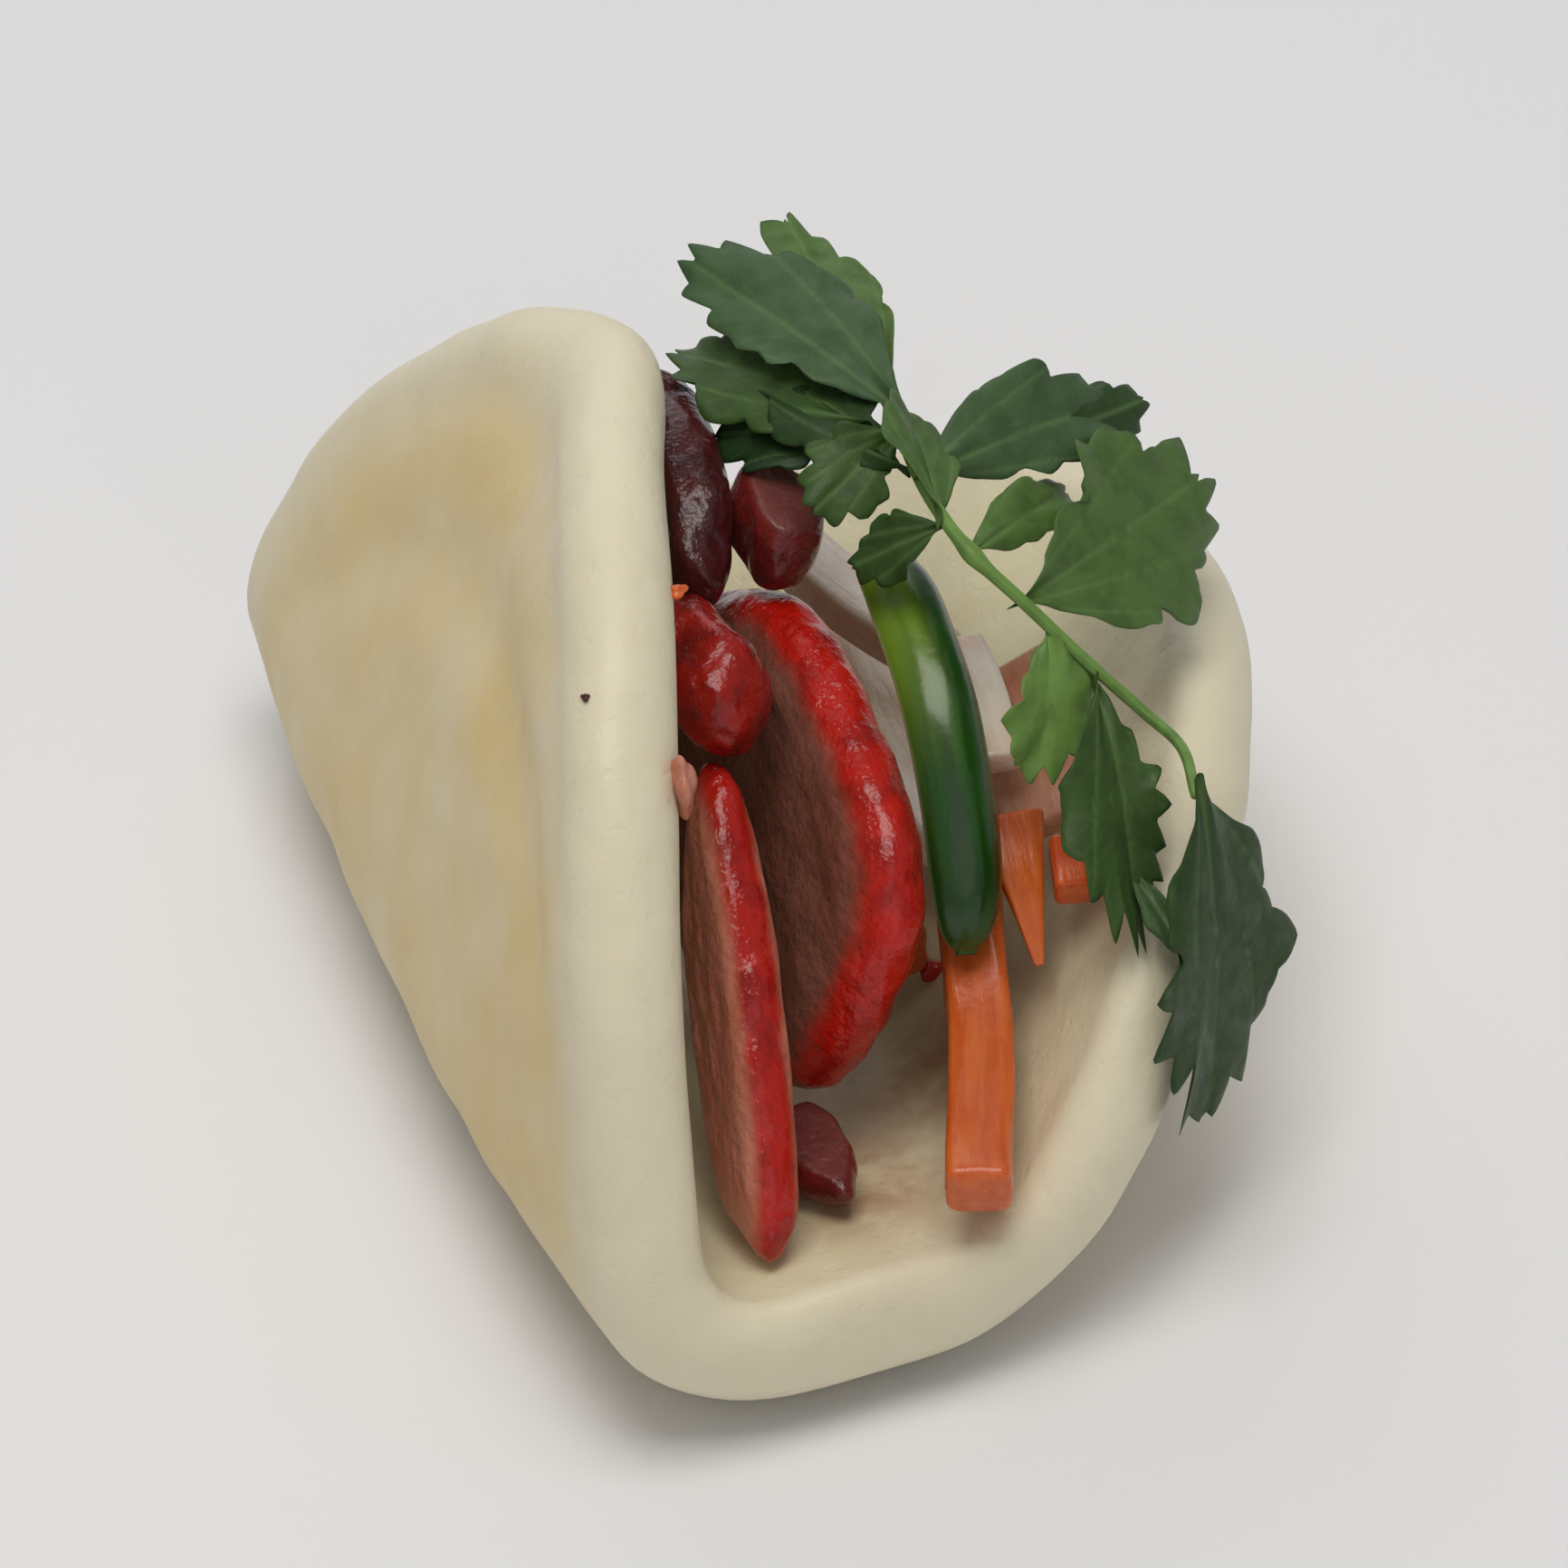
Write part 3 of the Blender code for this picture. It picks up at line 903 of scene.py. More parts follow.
@dataclass
class PorkPiece:
    """A slice or chunk of roast pork: a flat uneven oval with a lumpy glazed rim."""

    node: str
    length_axis: Vec
    face_normal: Vec
    half_sizes: Vec
    roast: Roast
    rim_share: float = 0.28
    lumps: float = 0.05
    phase: float = 0.0
    bare: float = 0.55
    around: int = 190
    face_rings: int = 36
    rim_steps: int = 46

    def build(self, materials: dict[Roast, Material]) -> None:
        """Makes the piece: an oval whose outline adds three and five lobes to a circle's.

        Its crust is bumpy all round, and its cut faces have finer bumps drawn out along the fibres.

        Args:
            materials: the material of each roast.
        """
        radius, height = pillow_profile(self.face_rings, self.rim_steps, self.rim_share)
        turn = full_turn(self.around)
        r, a = np.meshgrid(radius, turn, indexing="ij")
        h = np.repeat(height[:, None], self.around, axis=1)
        half_length, half_width, half_depth = self.half_sizes
        outline = 1.0 + self.lumps * (np.sin(3 * a + self.phase) + 0.6 * np.sin(5 * a + 2.3 * self.phase))
        along = half_length * r * outline * signed_power(np.cos(a), 0.9)
        across = half_width * r * outline * signed_power(np.sin(a), 0.9)
        depth = half_depth * h * (1.0 + 0.8 * self.lumps * np.sin(2 * a + self.phase) * r)
        grain = np.stack([along, across, depth], axis=-1)
        crust = smooth_step(1.0 - self.bare * self.rim_share, 1.0 - (self.bare - 0.8) * self.rim_share, r)
        seed = int(10 * self.phase) + 11
        bumps = bumpy(grain, ((0.17, 4.6, seed), (0.05, 1.8, seed + 1)))
        fibres = bumpy(grain * (0.3, 1.0, 1.0), ((0.07, 1.8, seed + 2),))
        growth = crust * bumps + (1.0 - crust) * fibres
        swell = 1.0 + (crust * 0.9 * bumps / max(half_width, 3.0))
        along, across = along * swell, across * swell
        depth = depth + np.sign(h) * growth * np.abs(h) ** 2
        first = unit(self.length_axis)
        third = unit(np.asarray(self.face_normal) - first * np.dot(first, self.face_normal))
        second = np.cross(first, third)
        rings = along[..., None] * first + across[..., None] * second + depth[..., None] * third
        poles = (rings[0].mean(axis=0), rings[-1].mean(axis=0))
        values = {
            "crust": (crust, 0.0, 0.0),
            "grain": (grain, np.array([0.0, 0.0, half_depth]), np.array([0.0, 0.0, -half_depth])),
        }
        skin = ring_skin(rings, poles[0], poles[1], values)
        skin = skin.centred_on(self.node)
        make_piece(f"{self.node}_roasted", skin, materials[self.roast], (self.node,))


@dataclass
class RoastPork:
    """Every piece of pork in the bun."""

    pieces: tuple[PorkPiece, ...] = (
        # Painted light: the left slice's cut face is lightened to look lit.
        PorkPiece(
            "pork_slice_left", length_axis=(0.15, 0.70, 0.69), face_normal=(-0.97, -0.05, 0.20),
            half_sizes=(18.2, 5.0, 2.3), roast=Roast.PALE_CUT, rim_share=0.34, phase=0.4, bare=0.62,
        ),
        PorkPiece(
            "pork_slice_middle", length_axis=(0.03, 1.0, 0.28), face_normal=(-0.93, 0.0, 0.36),
            half_sizes=(20.0, 15.0, 3.4), roast=Roast.BRIGHT, rim_share=0.30, lumps=0.035, phase=1.3,
            bare=0.75,
        ),
        PorkPiece(
            "pork_chunk_glazed", length_axis=(0.0, 1.0, 0.1), face_normal=(-0.3, 0.0, 0.95),
            half_sizes=(6.6, 3.7, 4.6), roast=Roast.DEEP, rim_share=0.6, phase=2.1, bare=2.2,
        ),
        PorkPiece(
            "pork_chunk_cut", length_axis=(0.0, 0.95, 0.2), face_normal=(0.2, -0.5, 0.85),
            half_sizes=(4.8, 3.2, 3.2), roast=Roast.MUTED, rim_share=0.32, phase=3.0, bare=1.0,
        ),
        # Painted shade: the rear slice takes the near-black glaze because it lies in shadow.
        PorkPiece(
            "pork_slice_rear", length_axis=(0.10, 1.0, 0.02), face_normal=(-0.95, 0.1, 0.25),
            half_sizes=(11.5, 6.0, 2.6), roast=Roast.DARK, phase=4.2, bare=1.0,
        ),
        # Painted shade: this small dark slice under the middle slice stands for the shade deep in the hollow
        # as much as for pork.
        PorkPiece(
            "pork_slice_low", length_axis=(0.0, 1.0, 0.0), face_normal=(0.0, 0.0, 1.0),
            half_sizes=(5.4, 2.6, 1.5), roast=Roast.MUTED, phase=5.1, bare=1.0,
        ),
        PorkPiece(
            "pork_slice_far", length_axis=(0.05, 1.0, 0.0), face_normal=(-0.95, 0.0, 0.25),
            half_sizes=(15.0, 11.6, 3.4), roast=Roast.MUTED, phase=0.9,
        ),
    )

    def build(self) -> None:
        """Makes each piece with the finish of its roast."""
        materials = {roast: roast.value.make() for roast in Roast}
        for piece in self.pieces:
            piece.build(materials)


# ---------------------------------------------------------------- the vegetables


class Pickle(Enum):
    """Which pickled root a stick is cut from."""

    CARROT = RootFinish(
        "pickled_carrot", flesh=(0.58, 0.100, 0.012), streak=(0.68, 0.150, 0.024),
        soak=(0.46, 0.046, 0.010), soaked=0.35, depth=1.6, see_through=0.25,
    )
    RED_CARROT = RootFinish(
        "stained_carrot", flesh=(0.74, 0.100, 0.014), streak=(0.82, 0.160, 0.025),
        soak=(0.45, 0.025, 0.010), soaked=0.7, depth=1.4, see_through=0.25,
    )
    DAIKON = RootFinish(
        "pickled_daikon", flesh=(0.84, 0.72, 0.60), streak=(0.90, 0.84, 0.74), soak=(0.80, 0.50, 0.38),
        soaked=0.45, depth=3.0, see_through=0.35,
    )
    STAINED_DAIKON = RootFinish(
        "stained_daikon", flesh=(0.66, 0.34, 0.22), streak=(0.76, 0.47, 0.34), soak=(0.62, 0.20, 0.09),
        soaked=0.60, depth=3.0, see_through=0.35,
    )

    @property
    def slot(self) -> str:
        """A material slot name for the pickle: daikon or carrot."""
        return "daikon" if self in (Pickle.DAIKON, Pickle.STAINED_DAIKON) else "carrot"


@dataclass
class PickleStick:
    """A cut stick of pickled root: a soft-edged rectangle along a gentle curve."""

    node: str
    start: Vec
    middle: Vec
    end: Vec
    width: float
    depth: float
    pickle: Pickle
    end_width: float = 1.0
    up: Vec = (0.0, 0.0, 1.0)
    around: int = 64
    count: int = 90

    def build(self, materials: dict[Pickle, Material]) -> None:
        """Makes the stick: rings of a superellipse that shrink over both ends as a quarter circle does.

        Args:
            materials: the material of each pickle.
        """
        share = np.linspace(0.0, 1.0, self.count)
        path = smooth_path((self.start, self.middle, self.end), self.count)
        length = path_length(path)
        turn = full_turn(self.around)
        loop = np.stack([signed_power(np.cos(turn), 0.36), signed_power(np.sin(turn), 0.36)], axis=-1)
        to_end = np.minimum(share, 1.0 - share) * length
        corner = 0.16 * self.depth
        soft = 1.0 - 0.16 * (1.0 - np.sqrt(1.0 - np.clip(1.0 - to_end / corner, 0.0, 1.0) ** 2))
        narrow = (1.0 + (self.end_width - 1.0) * share) * soft
        local = 0.5 * loop[None] * np.array([self.width, self.depth]) * narrow[:, None, None]
        grain = grain_along(share * length, local)
        seed = int(abs(self.start[0]) * 7) + 31
        bends = bumpy(grain * (0.5, 1.0, 1.0), ((0.035, 5.0, seed),))
        streaks = bumpy(grain * (0.15, 1.0, 1.0), ((0.018, 1.3, seed + 1),))
        uneven = 1.0 + bends + streaks
        rings = swept(path, path_axes(path, self.up), local * uneven[..., None])
        rings, grain = rings[:, ::-1], grain[:, ::-1]
        values = {"grain": (grain, np.zeros(3), np.array([length, 0.0, 0.0]))}
        skin = ring_skin(rings, rings[0].mean(axis=0), rings[-1].mean(axis=0), values)
        skin = skin.centred_on(self.node)
        make_piece(f"{self.node}_pickled", skin, materials[self.pickle], (self.node,))


@dataclass
class PepperStrip:
    """A strip of green pepper: an arched wall, skin outwards, narrowing to both ends."""

    path: tuple[Vec, ...] = (
        (19.1, -1.5, 40.9), (18.6, -9.0, 41.7), (17.9, -18.0, 38.9), (16.9, -25.0, 31.6), (15.7, -28.6, 24.8)
    )
    width: float = 6.4
    depth: float = 3.6
    up: Vec = (0.45, -0.35, 1.0)
    around: int = 80
    count: int = 150

    def build(self) -> None:
        """Makes the strip: each ring is a flat oval lifted by a parabola across the strip."""
        path = smooth_path(self.path, self.count)
        turn = full_turn(self.around)
        across = 0.5 * self.width * signed_power(np.cos(turn), 0.85)
        arch = 0.45 * self.depth * (1.0 - (2 * across / self.width) ** 2)
        lift = arch + 0.35 * self.depth * signed_power(np.sin(turn), 0.8)
        share = np.linspace(-1.0, 1.0, self.count)
        narrow = np.sqrt(np.clip(1.0 - np.abs(share) ** 5, 0.10, 1.0))
        local = np.stack([narrow[:, None] * across, narrow[:, None] * lift], axis=-1)
        length = path_length(path)
        grain = grain_along(0.5 * (share + 1) * length, local)
        uneven = 1.0 + bumpy(grain * (0.4, 1.0, 1.0), ((0.02, 4.0, 71),))
        rings = swept(path, path_axes(path, self.up), local * uneven[..., None])
        under = np.repeat(smooth_step(0.15, -0.35, np.sin(turn))[None], self.count, axis=0)
        upper = smooth_step(0.66, 0.34, 0.5 * (share[:, None] + 1))
        patch = upper * smooth_step(-0.05, 0.45, np.cos(turn))[None]
        values = {
            "grain": (grain[:, ::-1], np.zeros(3), np.array([length, 0.0, 0.0])),
            "cut": (under[:, ::-1], 1.0, 1.0),
            "patch": (patch[:, ::-1], 0.0, 0.0),
        }
        rings = rings[:, ::-1]
        skin = ring_skin(rings, rings[0].mean(axis=0), rings[-1].mean(axis=0), values)
        skin = skin.centred_on("pepper_strip")
        make_piece("pepper_strip_waxy", skin, PepperFinish().make(), ("pepper_strip",))


@dataclass
class Vegetables:
    """The pickled sticks and the strip of pepper."""

    sticks: tuple[PickleStick, ...] = (
        PickleStick(
            "carrot_stick_long", (19.2, -19.5, 25.0), (15.4, -32.5, 19.6), (9.7, -47.5, 18.4),
            width=4.9, depth=4.2, pickle=Pickle.CARROT,
        ),
        PickleStick(
            "carrot_wedge", (21.8, -20.8, 29.8), (21.4, -25.2, 27.4), (20.8, -30.2, 23.2), width=5.8,
            depth=2.8, pickle=Pickle.CARROT, end_width=0.12,
        ),
        PickleStick(
            "carrot_cube", (26.0, -24.0, 28.6), (25.5, -26.0, 28.0), (25.0, -28.0, 27.2), width=3.8,
            depth=3.4, pickle=Pickle.RED_CARROT,
        ),
        PickleStick(
            "carrot_stick_low", (15.6, 22.0, 14.6), (15.0, 2.0, 14.2), (14.6, -16.0, 14.8), width=4.8,
            depth=4.4, pickle=Pickle.CARROT,
        ),
        PickleStick(
            "daikon_ribbon", (27.8, -6.0, 31.2), (27.2, -13.0, 29.8), (26.2, -20.4, 27.8), width=8.4,
            depth=2.2, pickle=Pickle.STAINED_DAIKON, up=(-0.55, -0.25, 0.8),
        ),
        PickleStick(
            "daikon_stick_1", (23.8, -6.4, 35.0), (23.5, -12.4, 34.4), (22.8, -18.0, 32.8), width=3.2,
            depth=2.6, pickle=Pickle.DAIKON,
        ),
        PickleStick(
            "daikon_stick_2", (21.8, 19.0, 19.4), (20.8, 4.0, 20.0), (20.4, -12.0, 21.2), width=5.0,
            depth=4.0, pickle=Pickle.DAIKON,
        ),
        PickleStick(
            "daikon_stick_3", (18.6, 26.0, 26.0), (21.0, 12.0, 27.0), (25.0, 1.5, 27.6), width=4.6,
            depth=4.0, pickle=Pickle.DAIKON,
        ),
    )

    def build(self) -> None:
        """Makes each stick and the pepper."""
        materials = {pickle: pickle.value.make() for pickle in Pickle}
        for stick in self.sticks:
            stick.build(materials)
        PepperStrip().build()


# ---------------------------------------------------------------- the coriander


@dataclass(frozen=True)
class Cleft:
    """A V-shaped cleft on each side of a blade: its heading from the tip, half-width and depth as a share."""

    heading: float
    half_width: float
    depth: float

    def cut(self, spread: Grid) -> Grid:
        """How deep the cleft cuts at some headings: a tent, a little hollowed by a power."""
        tent = np.clip(1.0 - np.abs(spread - self.heading) / self.half_width, 0.0, 1.0)
        return self.depth * tent**1.4


TIP_CLEFT = Cleft(heading=0.80, half_width=0.24, depth=0.62)
BASE_CLEFT = Cleft(heading=1.75, half_width=0.34, depth=1.0)
VEIN_BEARINGS = (-0.62, -0.30, 0.28, 0.60)
MIDRIB_WIDTH = 0.20
BRANCH_WIDTH = 0.16
FINE_PITCH = 1.7
FINE_WIDTH = 0.13
BLADE_HALF_THICKNESS = 0.13


@dataclass
class Leaflet:
    """One lobed, toothed blade, from its stalk to its tip."""

    base: Vec
    tip: Vec
    facing: Vec
    half_width: float
    # How bright the leaf's green is, 0 to 1: partly its own colour, partly painted shade and light.
    tone: float = 0.3
    sage: float = 0.0
    fold: float = 0.25
    droop: float = 2.0
    lobes: float = 0.30
    teeth: float = 0.16
    phase: float = 0.0
    teeth_count: float = 6.5
    around: int = 190
    steps: int = 14

    def reach(self, turn: Grid) -> Grid:
        """How far the outline stands from the blade's middle, as a share, for each heading from the tip.

        Two V-shaped clefts a side part three lobes, and the edge carries pointed teeth: a triangle wave
        whose pace and height vary along the edge.

        Args:
            turn: headings from the tip, in radians.

        Returns:
            The share at each heading, near 1.
        """
        heading = (turn + math.pi) % (2 * math.pi) - math.pi
        spread = np.abs(heading)
        lean = 0.10 * np.sign(heading) * math.sin(2.3 * self.phase + 0.4)
        clefts = self.lobes * (TIP_CLEFT.cut(spread - lean) + BASE_CLEFT.cut(spread + lean))
        uneven = spread + 0.12 * np.sin(2.0 * heading + self.phase)
        pace = self.teeth_count * uneven / math.pi + 0.25 * self.phase
        tooth = np.abs(2.0 * np.mod(pace + 0.18 * np.sign(heading), 1.0) - 1.0)
        height = self.teeth * (0.75 + 0.35 * np.sin(2.6 * heading + 1.7 * self.phase))
        height = height * smooth_step(0.0, 0.45, 0.5 * (1.0 + np.cos(heading)))
        lopsided = 0.06 * np.sin(2 * heading + 3.1 * self.phase)
        return 1.0 - clefts + height * (tooth - 0.5) + lopsided

    def veins(self, along: Grid, across: Grid, share: Grid, length: float) -> tuple[Grid, Grid]:
        """Where the veins run: bell curves across the midrib and its branches, and fine slanting lines.

        Args:
            along: places along the blade, from its middle.
            across: places across it, from the midrib.
            share: how near its edge they are, 0..1.
            length: the blade's length.

        Returns:
            The strength of the main veins, and of all the veins with the edge left bare.
        """
        bearing = np.arctan2(across, along + 0.5 * length + 0.3)
        far = np.hypot(across, along + 0.5 * length)
        main = np.exp(-((far * bearing / MIDRIB_WIDTH) ** 2))
        for angle in VEIN_BEARINGS:
            curved = bearing - angle * (1.0 - 0.25 * far / length)
            main = np.maximum(main, 0.8 * np.exp(-((far * curved / BRANCH_WIDTH) ** 2)))
        slant = np.mod(np.abs(across) - 0.8 * along + 0.5 * np.sin(along), FINE_PITCH)
        fine = 0.22 * np.exp(-(((slant - 0.5 * FINE_PITCH) / FINE_WIDTH) ** 2))
        inner = smooth_step(0.2, 0.4, share)
        return main, np.maximum(main, fine * inner) * smooth_step(1.0, 0.9, share)

    def skin(self) -> Skin:
        """The blade as a closed thin body.

        It folds along its midrib, droops to its tip as a parabola does, and ruffles towards its edge.

        Returns:
            The skin, with its tone, sage and vein values.
        """
        base, tip = np.asarray(self.base, float), np.asarray(self.tip, float)
        length = float(np.linalg.norm(tip - base))
        first = unit(tip - base)
        third = unit(np.asarray(self.facing) - first * np.dot(first, self.facing))
        second = np.cross(first, third)
        turn = full_turn(self.around)
        share = np.linspace(0.0, 1.0, self.steps + 1)[1:]
        s, t = np.meshgrid(share, turn, indexing="ij")
        spread = s * (1.0 + (self.reach(t) - 1.0) * s**3)
        along = 0.5 * length * spread * np.cos(t)
        place = along / length + 0.5
        widest = np.clip(place / 0.42, 0.04, 1.0) ** 0.9
        across = self.half_width * spread * np.sin(t) * widest
        across = across + 0.06 * length * np.sin(math.pi * place) * math.sin(1.9 * self.phase + 1.0)
        sideways = across / self.half_width
        lift = self.droop * (1.0 - (2 * along / length) ** 2) + self.fold * np.abs(across) - 0.7 * sideways**2
        ruffle = 0.60 * s**2 * np.sin(3.0 * t + 2 * self.phase)
        ruffle = ruffle + 0.34 * s**3 * np.sin(7.0 * t + 1.3 * self.phase)
        ruffle = ruffle * min(1.0, self.half_width / 4.0)
        middle = 0.5 * (base + tip)
        thin = BLADE_HALF_THICKNESS * np.sqrt(np.clip(1.0 - s**8, 0.0, 1.0)) + 0.02
        main, vein = self.veins(along, across, s, length)
        furrow = 0.10 * main * smooth_step(0.0, 0.3, s)
        sheet = middle + along[..., None] * first + across[..., None] * second
        top = sheet + (lift + ruffle - furrow + thin)[..., None] * third
        bottom = (sheet + (lift + ruffle - furrow - thin)[..., None] * third)[::-1]
        rings = np.concatenate([top, bottom])
        both = np.concatenate([vein, vein[::-1]])
        poles = 0.5 * (top[0].mean(axis=0) + bottom[-1].mean(axis=0))
        plain = np.ones_like(both)
        values = {
            "tone": (self.tone * plain, self.tone, self.tone),
            "sage": (self.sage * plain, self.sage, self.sage),
            "vein": (both, 0.5, 0.5),
        }
        half = BLADE_HALF_THICKNESS * third
        return ring_skin(rings, poles + half, poles - half, values)


@dataclass
class CorianderSprig:
    """A sprig of coriander laid over the filling: one stem and its blades."""

    stem: tuple[Vec, ...] = (
        (21.6, 0.6, 52.4),
        (20.6, -8.6, 52.6),
        (21.4, -15.4, 51.6),
        (24.6, -18.8, 48.0),
        (28.0, -21.8, 44.0),
        (31.6, -24.2, 39.8),
        (32.6, -29.8, 40.2),
        (31.6, -35.3, 40.2),
    )
    radius: float = 0.66
    joint: float = 0.30
    joint_length: float = 0.03
    leaflets: tuple[Leaflet, ...] = (
        Leaflet(
            (22.4, -0.4, 52.7), (12.8, 20.8, 54.6), (0.0, -0.6, 0.80), half_width=5.2, tone=0.30,
            sage=0.85, fold=0.10, droop=0.8, lobes=0.18, teeth=0.16, phase=0.3, teeth_count=8.0,
        ),
        Leaflet(
            (21.4, 1.0, 52.3), (22.1, 26.6, 52.0), (0.0, -0.3, 0.95), half_width=4.2, tone=0.52,
            sage=0.0, fold=0.2, droop=0.6, lobes=0.30, teeth=0.15, phase=1.1,
        ),
        Leaflet(
            (19.9, 0.6, 51.6), (10.2, 17.5, 49.8), (0.0, -0.3, 0.95), half_width=4.4, tone=0.22,
            sage=0.0, fold=0.2, droop=0.8, lobes=0.34, teeth=0.20, phase=2.0,
        ),
        Leaflet(
            (21.4, 0.0, 50.9), (10.2, 8.6, 48.2), (0.0, -0.5, 0.85), half_width=4.0, tone=0.0, sage=0.0,
            fold=0.2, droop=0.8, lobes=0.30, teeth=0.18, phase=2.9,
        ),
        Leaflet(
            (21.4, -1.1, 52.2), (13.4, -4.2, 49.2), (0.0, -0.5, 0.86), half_width=3.9, tone=0.24,
            sage=0.0, fold=0.25, droop=0.8, lobes=0.34, teeth=0.16, phase=0.6,
        ),
        Leaflet(
            (20.2, -13.6, 52.4), (21.8, 1.0, 53.8), (0.5, -0.5, 0.70), half_width=2.9, tone=0.40,
            sage=0.1, fold=0.45, droop=0.6, lobes=0.16, teeth=0.12, phase=1.4,
        ),
        Leaflet(
            (20.3, -7.4, 52.6), (38.4, 0.6, 48.6), (0.1, -0.6, 0.80), half_width=4.6, tone=0.25,
            sage=0.70, fold=0.15, droop=1.2, lobes=0.20, teeth=0.14, phase=2.4, teeth_count=7.0,
        ),
        Leaflet(
            (31.6, -3.4, 49.8), (41.5, 2.2, 46.6), (0.1, -0.6, 0.80), half_width=3.2, tone=0.06,
            sage=0.1, fold=0.15, droop=0.6, lobes=0.25, teeth=0.16, phase=0.9,
        ),
        Leaflet(
            (21.4, -15.4, 51.0), (32.6, -6.2, 47.0), (0.1, -0.6, 0.80), half_width=2.5, tone=0.55,
            sage=0.0, fold=0.2, droop=0.6, lobes=0.14, teeth=0.12, phase=2.6,
        ),
        Leaflet(
            (24.2, -18.7, 48.1), (43.6, -3.6, 42.8), (0.2, -0.7, 0.68), half_width=8.4, tone=0.46,
            sage=0.1, fold=0.10, droop=1.4, lobes=0.44, teeth=0.24, phase=0.8, teeth_count=9.0,
        ),
        Leaflet(
            (26.0, -20.1, 46.6), (22.6, -25.8, 37.2), (0.3, -0.8, 0.60), half_width=4.0, tone=1.0,
            sage=0.05, fold=0.2, droop=0.7, lobes=0.22, teeth=0.34, phase=1.7, teeth_count=6.0,
        ),
        Leaflet(
            (28.7, -22.2, 43.1), (26.6, -36.0, 29.2), (0.3, -0.8, 0.60), half_width=4.3, tone=0.20,
            sage=0.0, fold=0.2, droop=0.9, lobes=0.12, teeth=0.34, phase=0.2, teeth_count=9.0,
        ),
        Leaflet(
            (27.2, -32.4, 32.3), (28.8, -39.2, 28.9), (0.3, -0.8, 0.60), half_width=1.4, tone=0.15,
            sage=0.5, fold=0.3, droop=0.4, lobes=0.10, teeth=0.12, phase=1.2, teeth_count=6.0,
        ),
        Leaflet(
            (31.7, -34.9, 41.3), (30.4, -40.6, 14.8), (0.65, -0.75, 0.10), half_width=10.4, tone=0.08,
            sage=0.0, fold=0.06, droop=1.0, lobes=0.44, teeth=0.28, phase=2.4, teeth_count=9.0,
        ),
        Leaflet(
            (20.9, -12.4, 51.8), (15.0, -8.6, 46.8), (0.0, -0.6, 0.80), half_width=2.8, tone=0.15,
            sage=0.0, fold=0.2, droop=0.5, lobes=0.25, teeth=0.16, phase=0.9,
        ),
        Leaflet(
            (20.6, -6.0, 51.6), (16.0, 12.0, 50.6), (0.1, -0.6, 0.80), half_width=4.0, tone=0.05,
            sage=0.0, fold=0.2, droop=0.6, lobes=0.30, teeth=0.18, phase=1.9,
        ),
    )
    around: int = 20
    count: int = 160

    def stem_skin(self) -> Skin:
        """The stem: a thin round rod that swells at its joint by a bell curve, and thins to its end.

        Returns:
            The skin, with its tone, sage and vein values.
        """
        path = smooth_path(self.stem, self.count)
        turn = full_turn(self.around)
        share = np.linspace(0.0, 1.0, self.count)
        swell = np.exp(-(((share - self.joint) / self.joint_length) ** 2))
        radius = self.radius * (0.82 + 0.35 * swell - 0.20 * share)
        local = radius[:, None, None] * np.stack([np.cos(turn), np.sin(turn)], axis=-1)
        rings = swept(path, path_axes(path, (0.0, 0.0, 1.0)), local)
        rings = rings[:, ::-1]
        ridge = np.repeat((0.5 + 0.5 * np.cos(5 * turn))[None], self.count, axis=0)
        plain = np.ones_like(ridge)
        values = {"tone": (plain, 1.0, 1.0), "sage": (0.0 * plain, 0.0, 0.0), "vein": (ridge, 0.5, 0.5)}
        return ring_skin(rings, path[0], path[-1], values)

    def build(self) -> None:
        """Makes the stem and the blades."""
        finish = HerbFinish().make()
        make_piece("coriander_stem", self.stem_skin(), finish)
        blades = self.leaflets[0].skin()
        for leaflet in self.leaflets[1:]:
            blades = blades.joined(leaflet.skin())
        make_piece("coriander_blades", blades, finish, ("coriander_sprig",))


@dataclass(frozen=True)
class Crumb:
    """One small lump that has stuck to the dough: where, how large, and how much of a glaze it has."""

    name: str
    place: Vec
    half_sizes: Vec
    phase: float
    glazed: float = 1.0
    tilts: int = 20
    around: int = 32

    def build(self, material: Material, slot: str) -> None:
        """Makes the crumb: an ellipsoid whose radius is uneven by two slow waves.

        Args:
            material: its finish.
            slot: not used.
        """
        tilt = np.linspace(0.0, math.pi, self.tilts)[1:-1]
        turn = full_turn(self.around)
        p, t = np.meshgrid(tilt, turn, indexing="ij")
        sphere = np.stack([np.sin(p) * np.cos(t), np.sin(p) * np.sin(t), np.cos(p)], axis=-1)
        uneven = 1.0 + 0.22 * np.sin(3 * t + self.phase) * np.sin(p) ** 2 + 0.12 * np.sin(5 * p + self.phase)
        half = np.asarray(self.half_sizes)
        rings = np.asarray(self.place) + sphere * uneven[..., None] * half
        up = np.array([0.0, 0.0, half[2]])
        top, bottom = np.asarray(self.place) + up, np.asarray(self.place) - up
        crust = np.full_like(p, self.glazed)
        values = {"crust": (crust, self.glazed, self.glazed), "grain": (sphere * half, up, -up)}
        make_piece(self.name, ring_skin(rings, top, bottom, values), material)


CARROT_CRUMB = Crumb("carrot_crumb", (-0.8, -14.3, 53.4), (0.8, 0.6, 0.5), phase=0.4)
PORK_CRUMBS = (
    Crumb("pork_crumb_rim", (-5.3, -27.6, 46.6), (0.9, 1.8, 2.4), phase=1.2, glazed=0.0),
    Crumb("pork_crumb_low", (17.5, -15.0, 12.0), (0.9, 0.9, 0.8), phase=2.3),
)
ROAST_SPECK = Crumb("roast_speck", (-10.66, -22.46, 52.57), (0.32, 0.34, 0.30), phase=0.9)


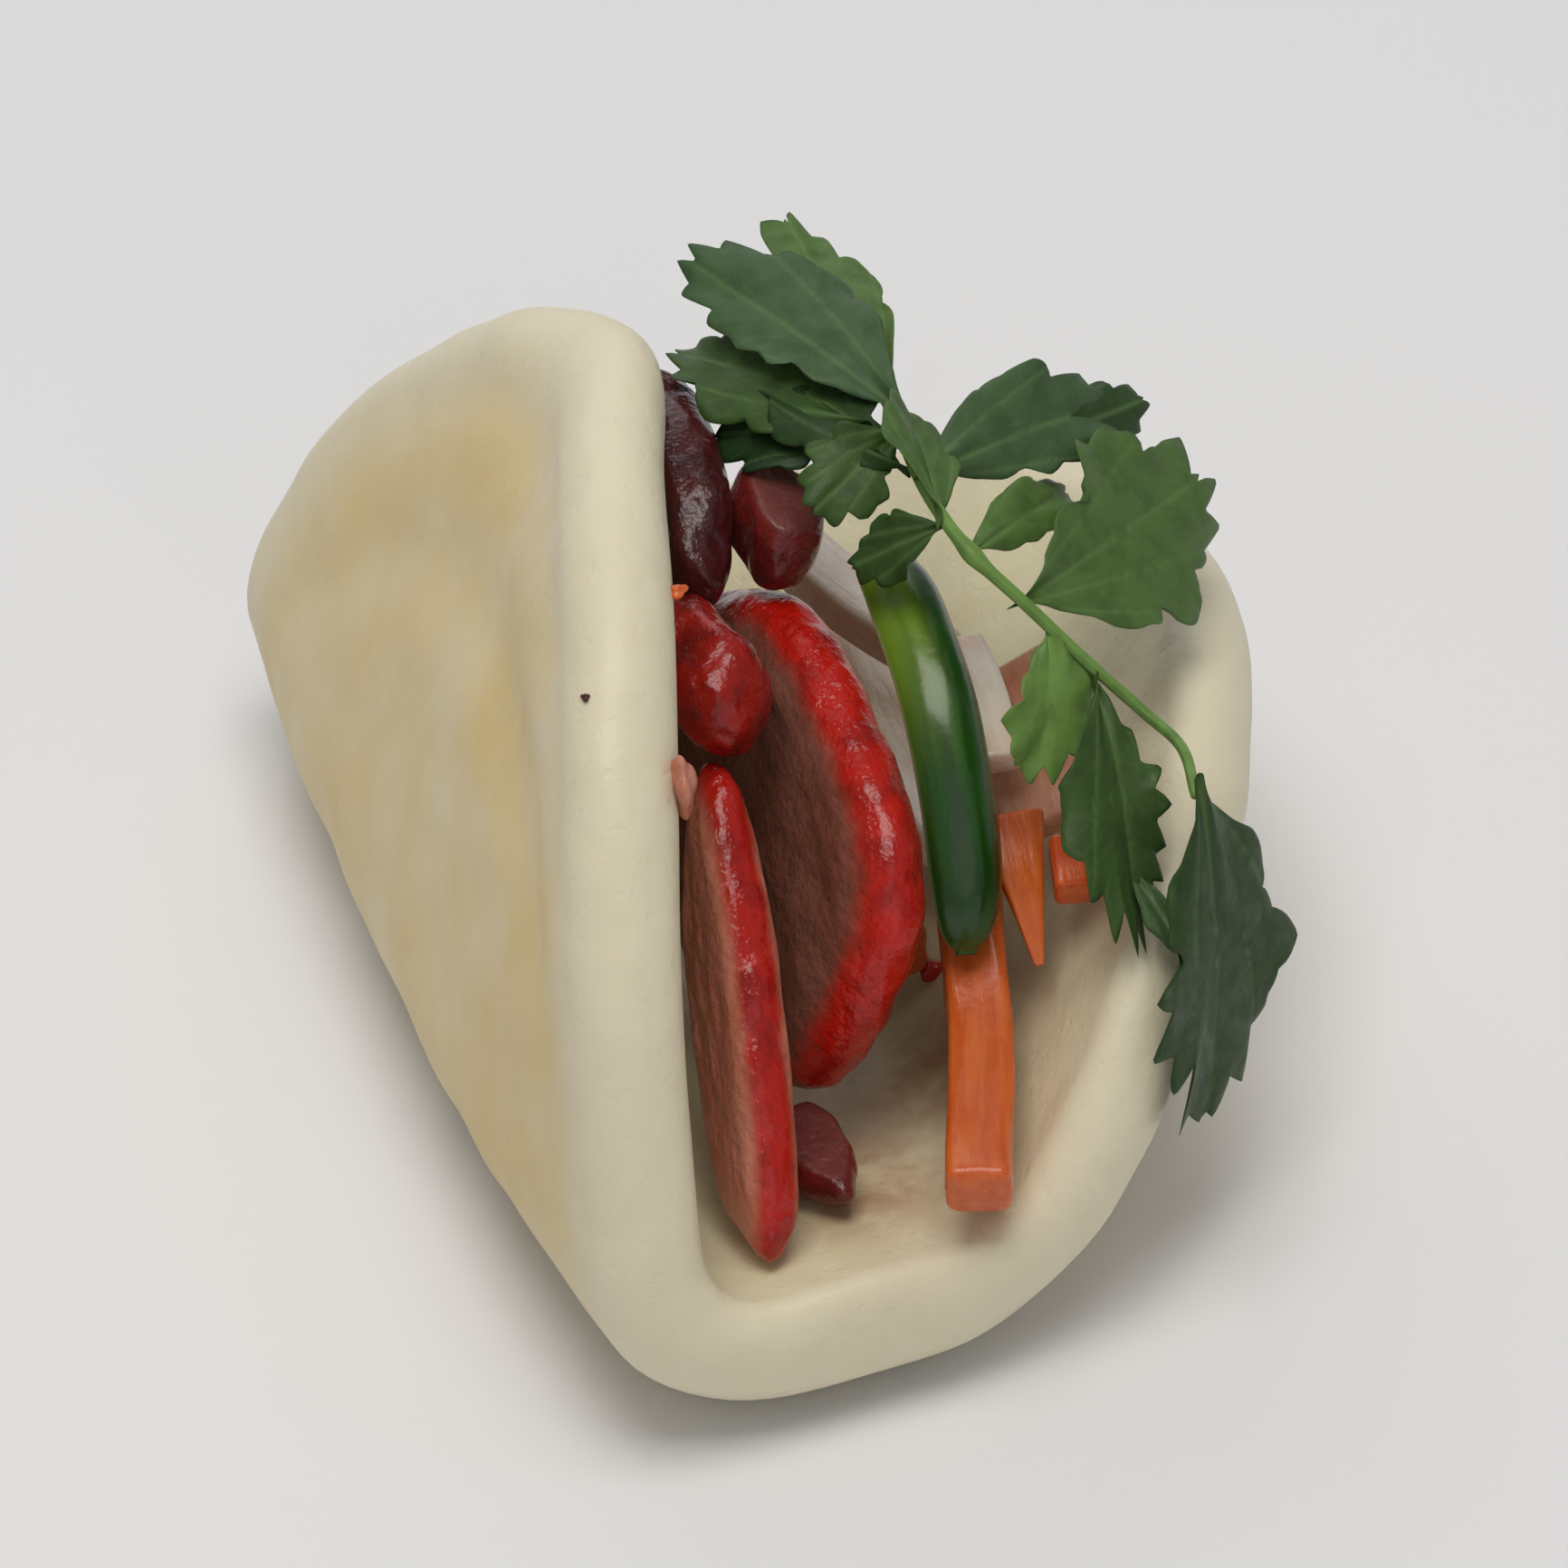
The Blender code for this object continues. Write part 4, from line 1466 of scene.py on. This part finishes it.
@dataclass
class Crumbs:
    """The crumbs of carrot and pork on the rim of the dough and by the filling."""

    carrot: Crumb = CARROT_CRUMB
    pork: tuple[Crumb, ...] = PORK_CRUMBS
    speck: Crumb = ROAST_SPECK

    def build(self) -> None:
        """Makes each crumb."""
        self.carrot.build(Pickle.CARROT.value.make(), "carrot")
        for crumb in self.pork:
            crumb.build(Roast.PALE_CUT.value.make(), "pork")
        self.speck.build(Roast.DARK.value.make(), "pork")


# ---------------------------------------------------------------- the studio


@dataclass(frozen=True)
class SoftLight:
    """One square soft light that looks at the bun."""

    name: str
    place: Vec
    size: float
    power: float
    colour: Vec


@dataclass
class Studio:
    """The table top, the soft lights and the camera."""

    camera_place: Vec = (-0.2347, -0.7548, 0.6727)
    aim: Vec = (0.0115, 0.0, 0.0205)
    roll: float = math.radians(-2.48)
    lens: float = 312.0
    sensor: float = 36.0
    floor_half: float = 1.2
    room_colour: tuple[float, float, float, float] = (0.97, 0.98, 1.0, 1.0)
    room_strength: float = 0.31
    lights: tuple[SoftLight, ...] = (
        SoftLight("key", (-0.04, -0.10, 0.72), size=0.40, power=2.5, colour=(1.0, 0.97, 0.92)),
        SoftLight("fill", (0.10, 0.62, 0.42), size=0.6, power=1.0, colour=(0.97, 0.98, 1.0)),
        SoftLight("front", (-0.10, -0.75, 0.40), size=0.6, power=0.6, colour=(1.0, 0.97, 0.92)),
    )

    def light(self, soft: SoftLight) -> None:
        """Adds one of the lights."""
        lamp = bpy.data.lights.new(soft.name, "AREA")
        lamp.size = soft.size
        lamp.energy = soft.power
        lamp.color = soft.colour
        thing = bpy.data.objects.new(soft.name, lamp)
        thing.location = soft.place
        thing.rotation_euler = (Vector(self.aim) - Vector(soft.place)).to_track_quat("-Z", "Y").to_euler()
        bpy.context.scene.collection.objects.link(thing)

    def floor(self) -> None:
        """Adds the table top: a wide flat sheet."""
        side = np.linspace(-self.floor_half, self.floor_half, 13)
        x, y = np.meshgrid(side, side, indexing="ij")
        index = np.arange(x.size).reshape(x.shape)
        quads = np.stack([index[:-1, :-1], index[1:, :-1], index[1:, 1:], index[:-1, 1:]], axis=-1)
        points = np.stack([x.ravel(), y.ravel(), np.full(x.size, -FLOOR_DROP)], axis=-1)
        mesh = bpy.data.meshes.new("table_top")
        mesh.from_pydata(points.tolist(), [], quads.reshape(-1, 4).tolist())
        mesh.materials.append(FloorFinish().make())
        table = bpy.data.objects.new("table_top", mesh)
        bpy.context.scene.collection.objects.link(table)

    def build(self) -> None:
        """Sets the table, world, lights and camera."""
        scene = bpy.context.scene
        scene.view_settings.view_transform = "Standard"
        world = bpy.data.worlds.new("soft_room")
        world.use_nodes = True
        background = world.node_tree.nodes["Background"]
        background.inputs["Color"].default_value = self.room_colour
        background.inputs["Strength"].default_value = self.room_strength
        scene.world = world
        scene.cycles.max_bounces = 6
        scene.cycles.diffuse_bounces = 3
        self.floor()
        for soft in self.lights:
            self.light(soft)
        camera = bpy.data.cameras.new("view")
        camera.lens = self.lens
        camera.sensor_width = self.sensor
        camera.clip_start = 0.05
        thing = bpy.data.objects.new("view", camera)
        look = (Vector(self.aim) - Vector(self.camera_place)).normalized()
        level = look.to_track_quat("-Z", "Y")
        turn = Quaternion(look, -self.roll)
        thing.matrix_world = Matrix.Translation(self.camera_place) @ (turn @ level).to_matrix().to_4x4()
        scene.collection.objects.link(thing)
        scene.camera = thing


def main() -> None:
    """Builds the studio and each part of the bun."""
    logging.basicConfig(level=logging.INFO, format="%(name)s: %(message)s")
    Studio().build()
    FoldedDough().build()
    RoastPork().build()
    Vegetables().build()
    CorianderSprig().build()
    Crumbs().build()
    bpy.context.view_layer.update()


if __name__ == "__main__":
    main()
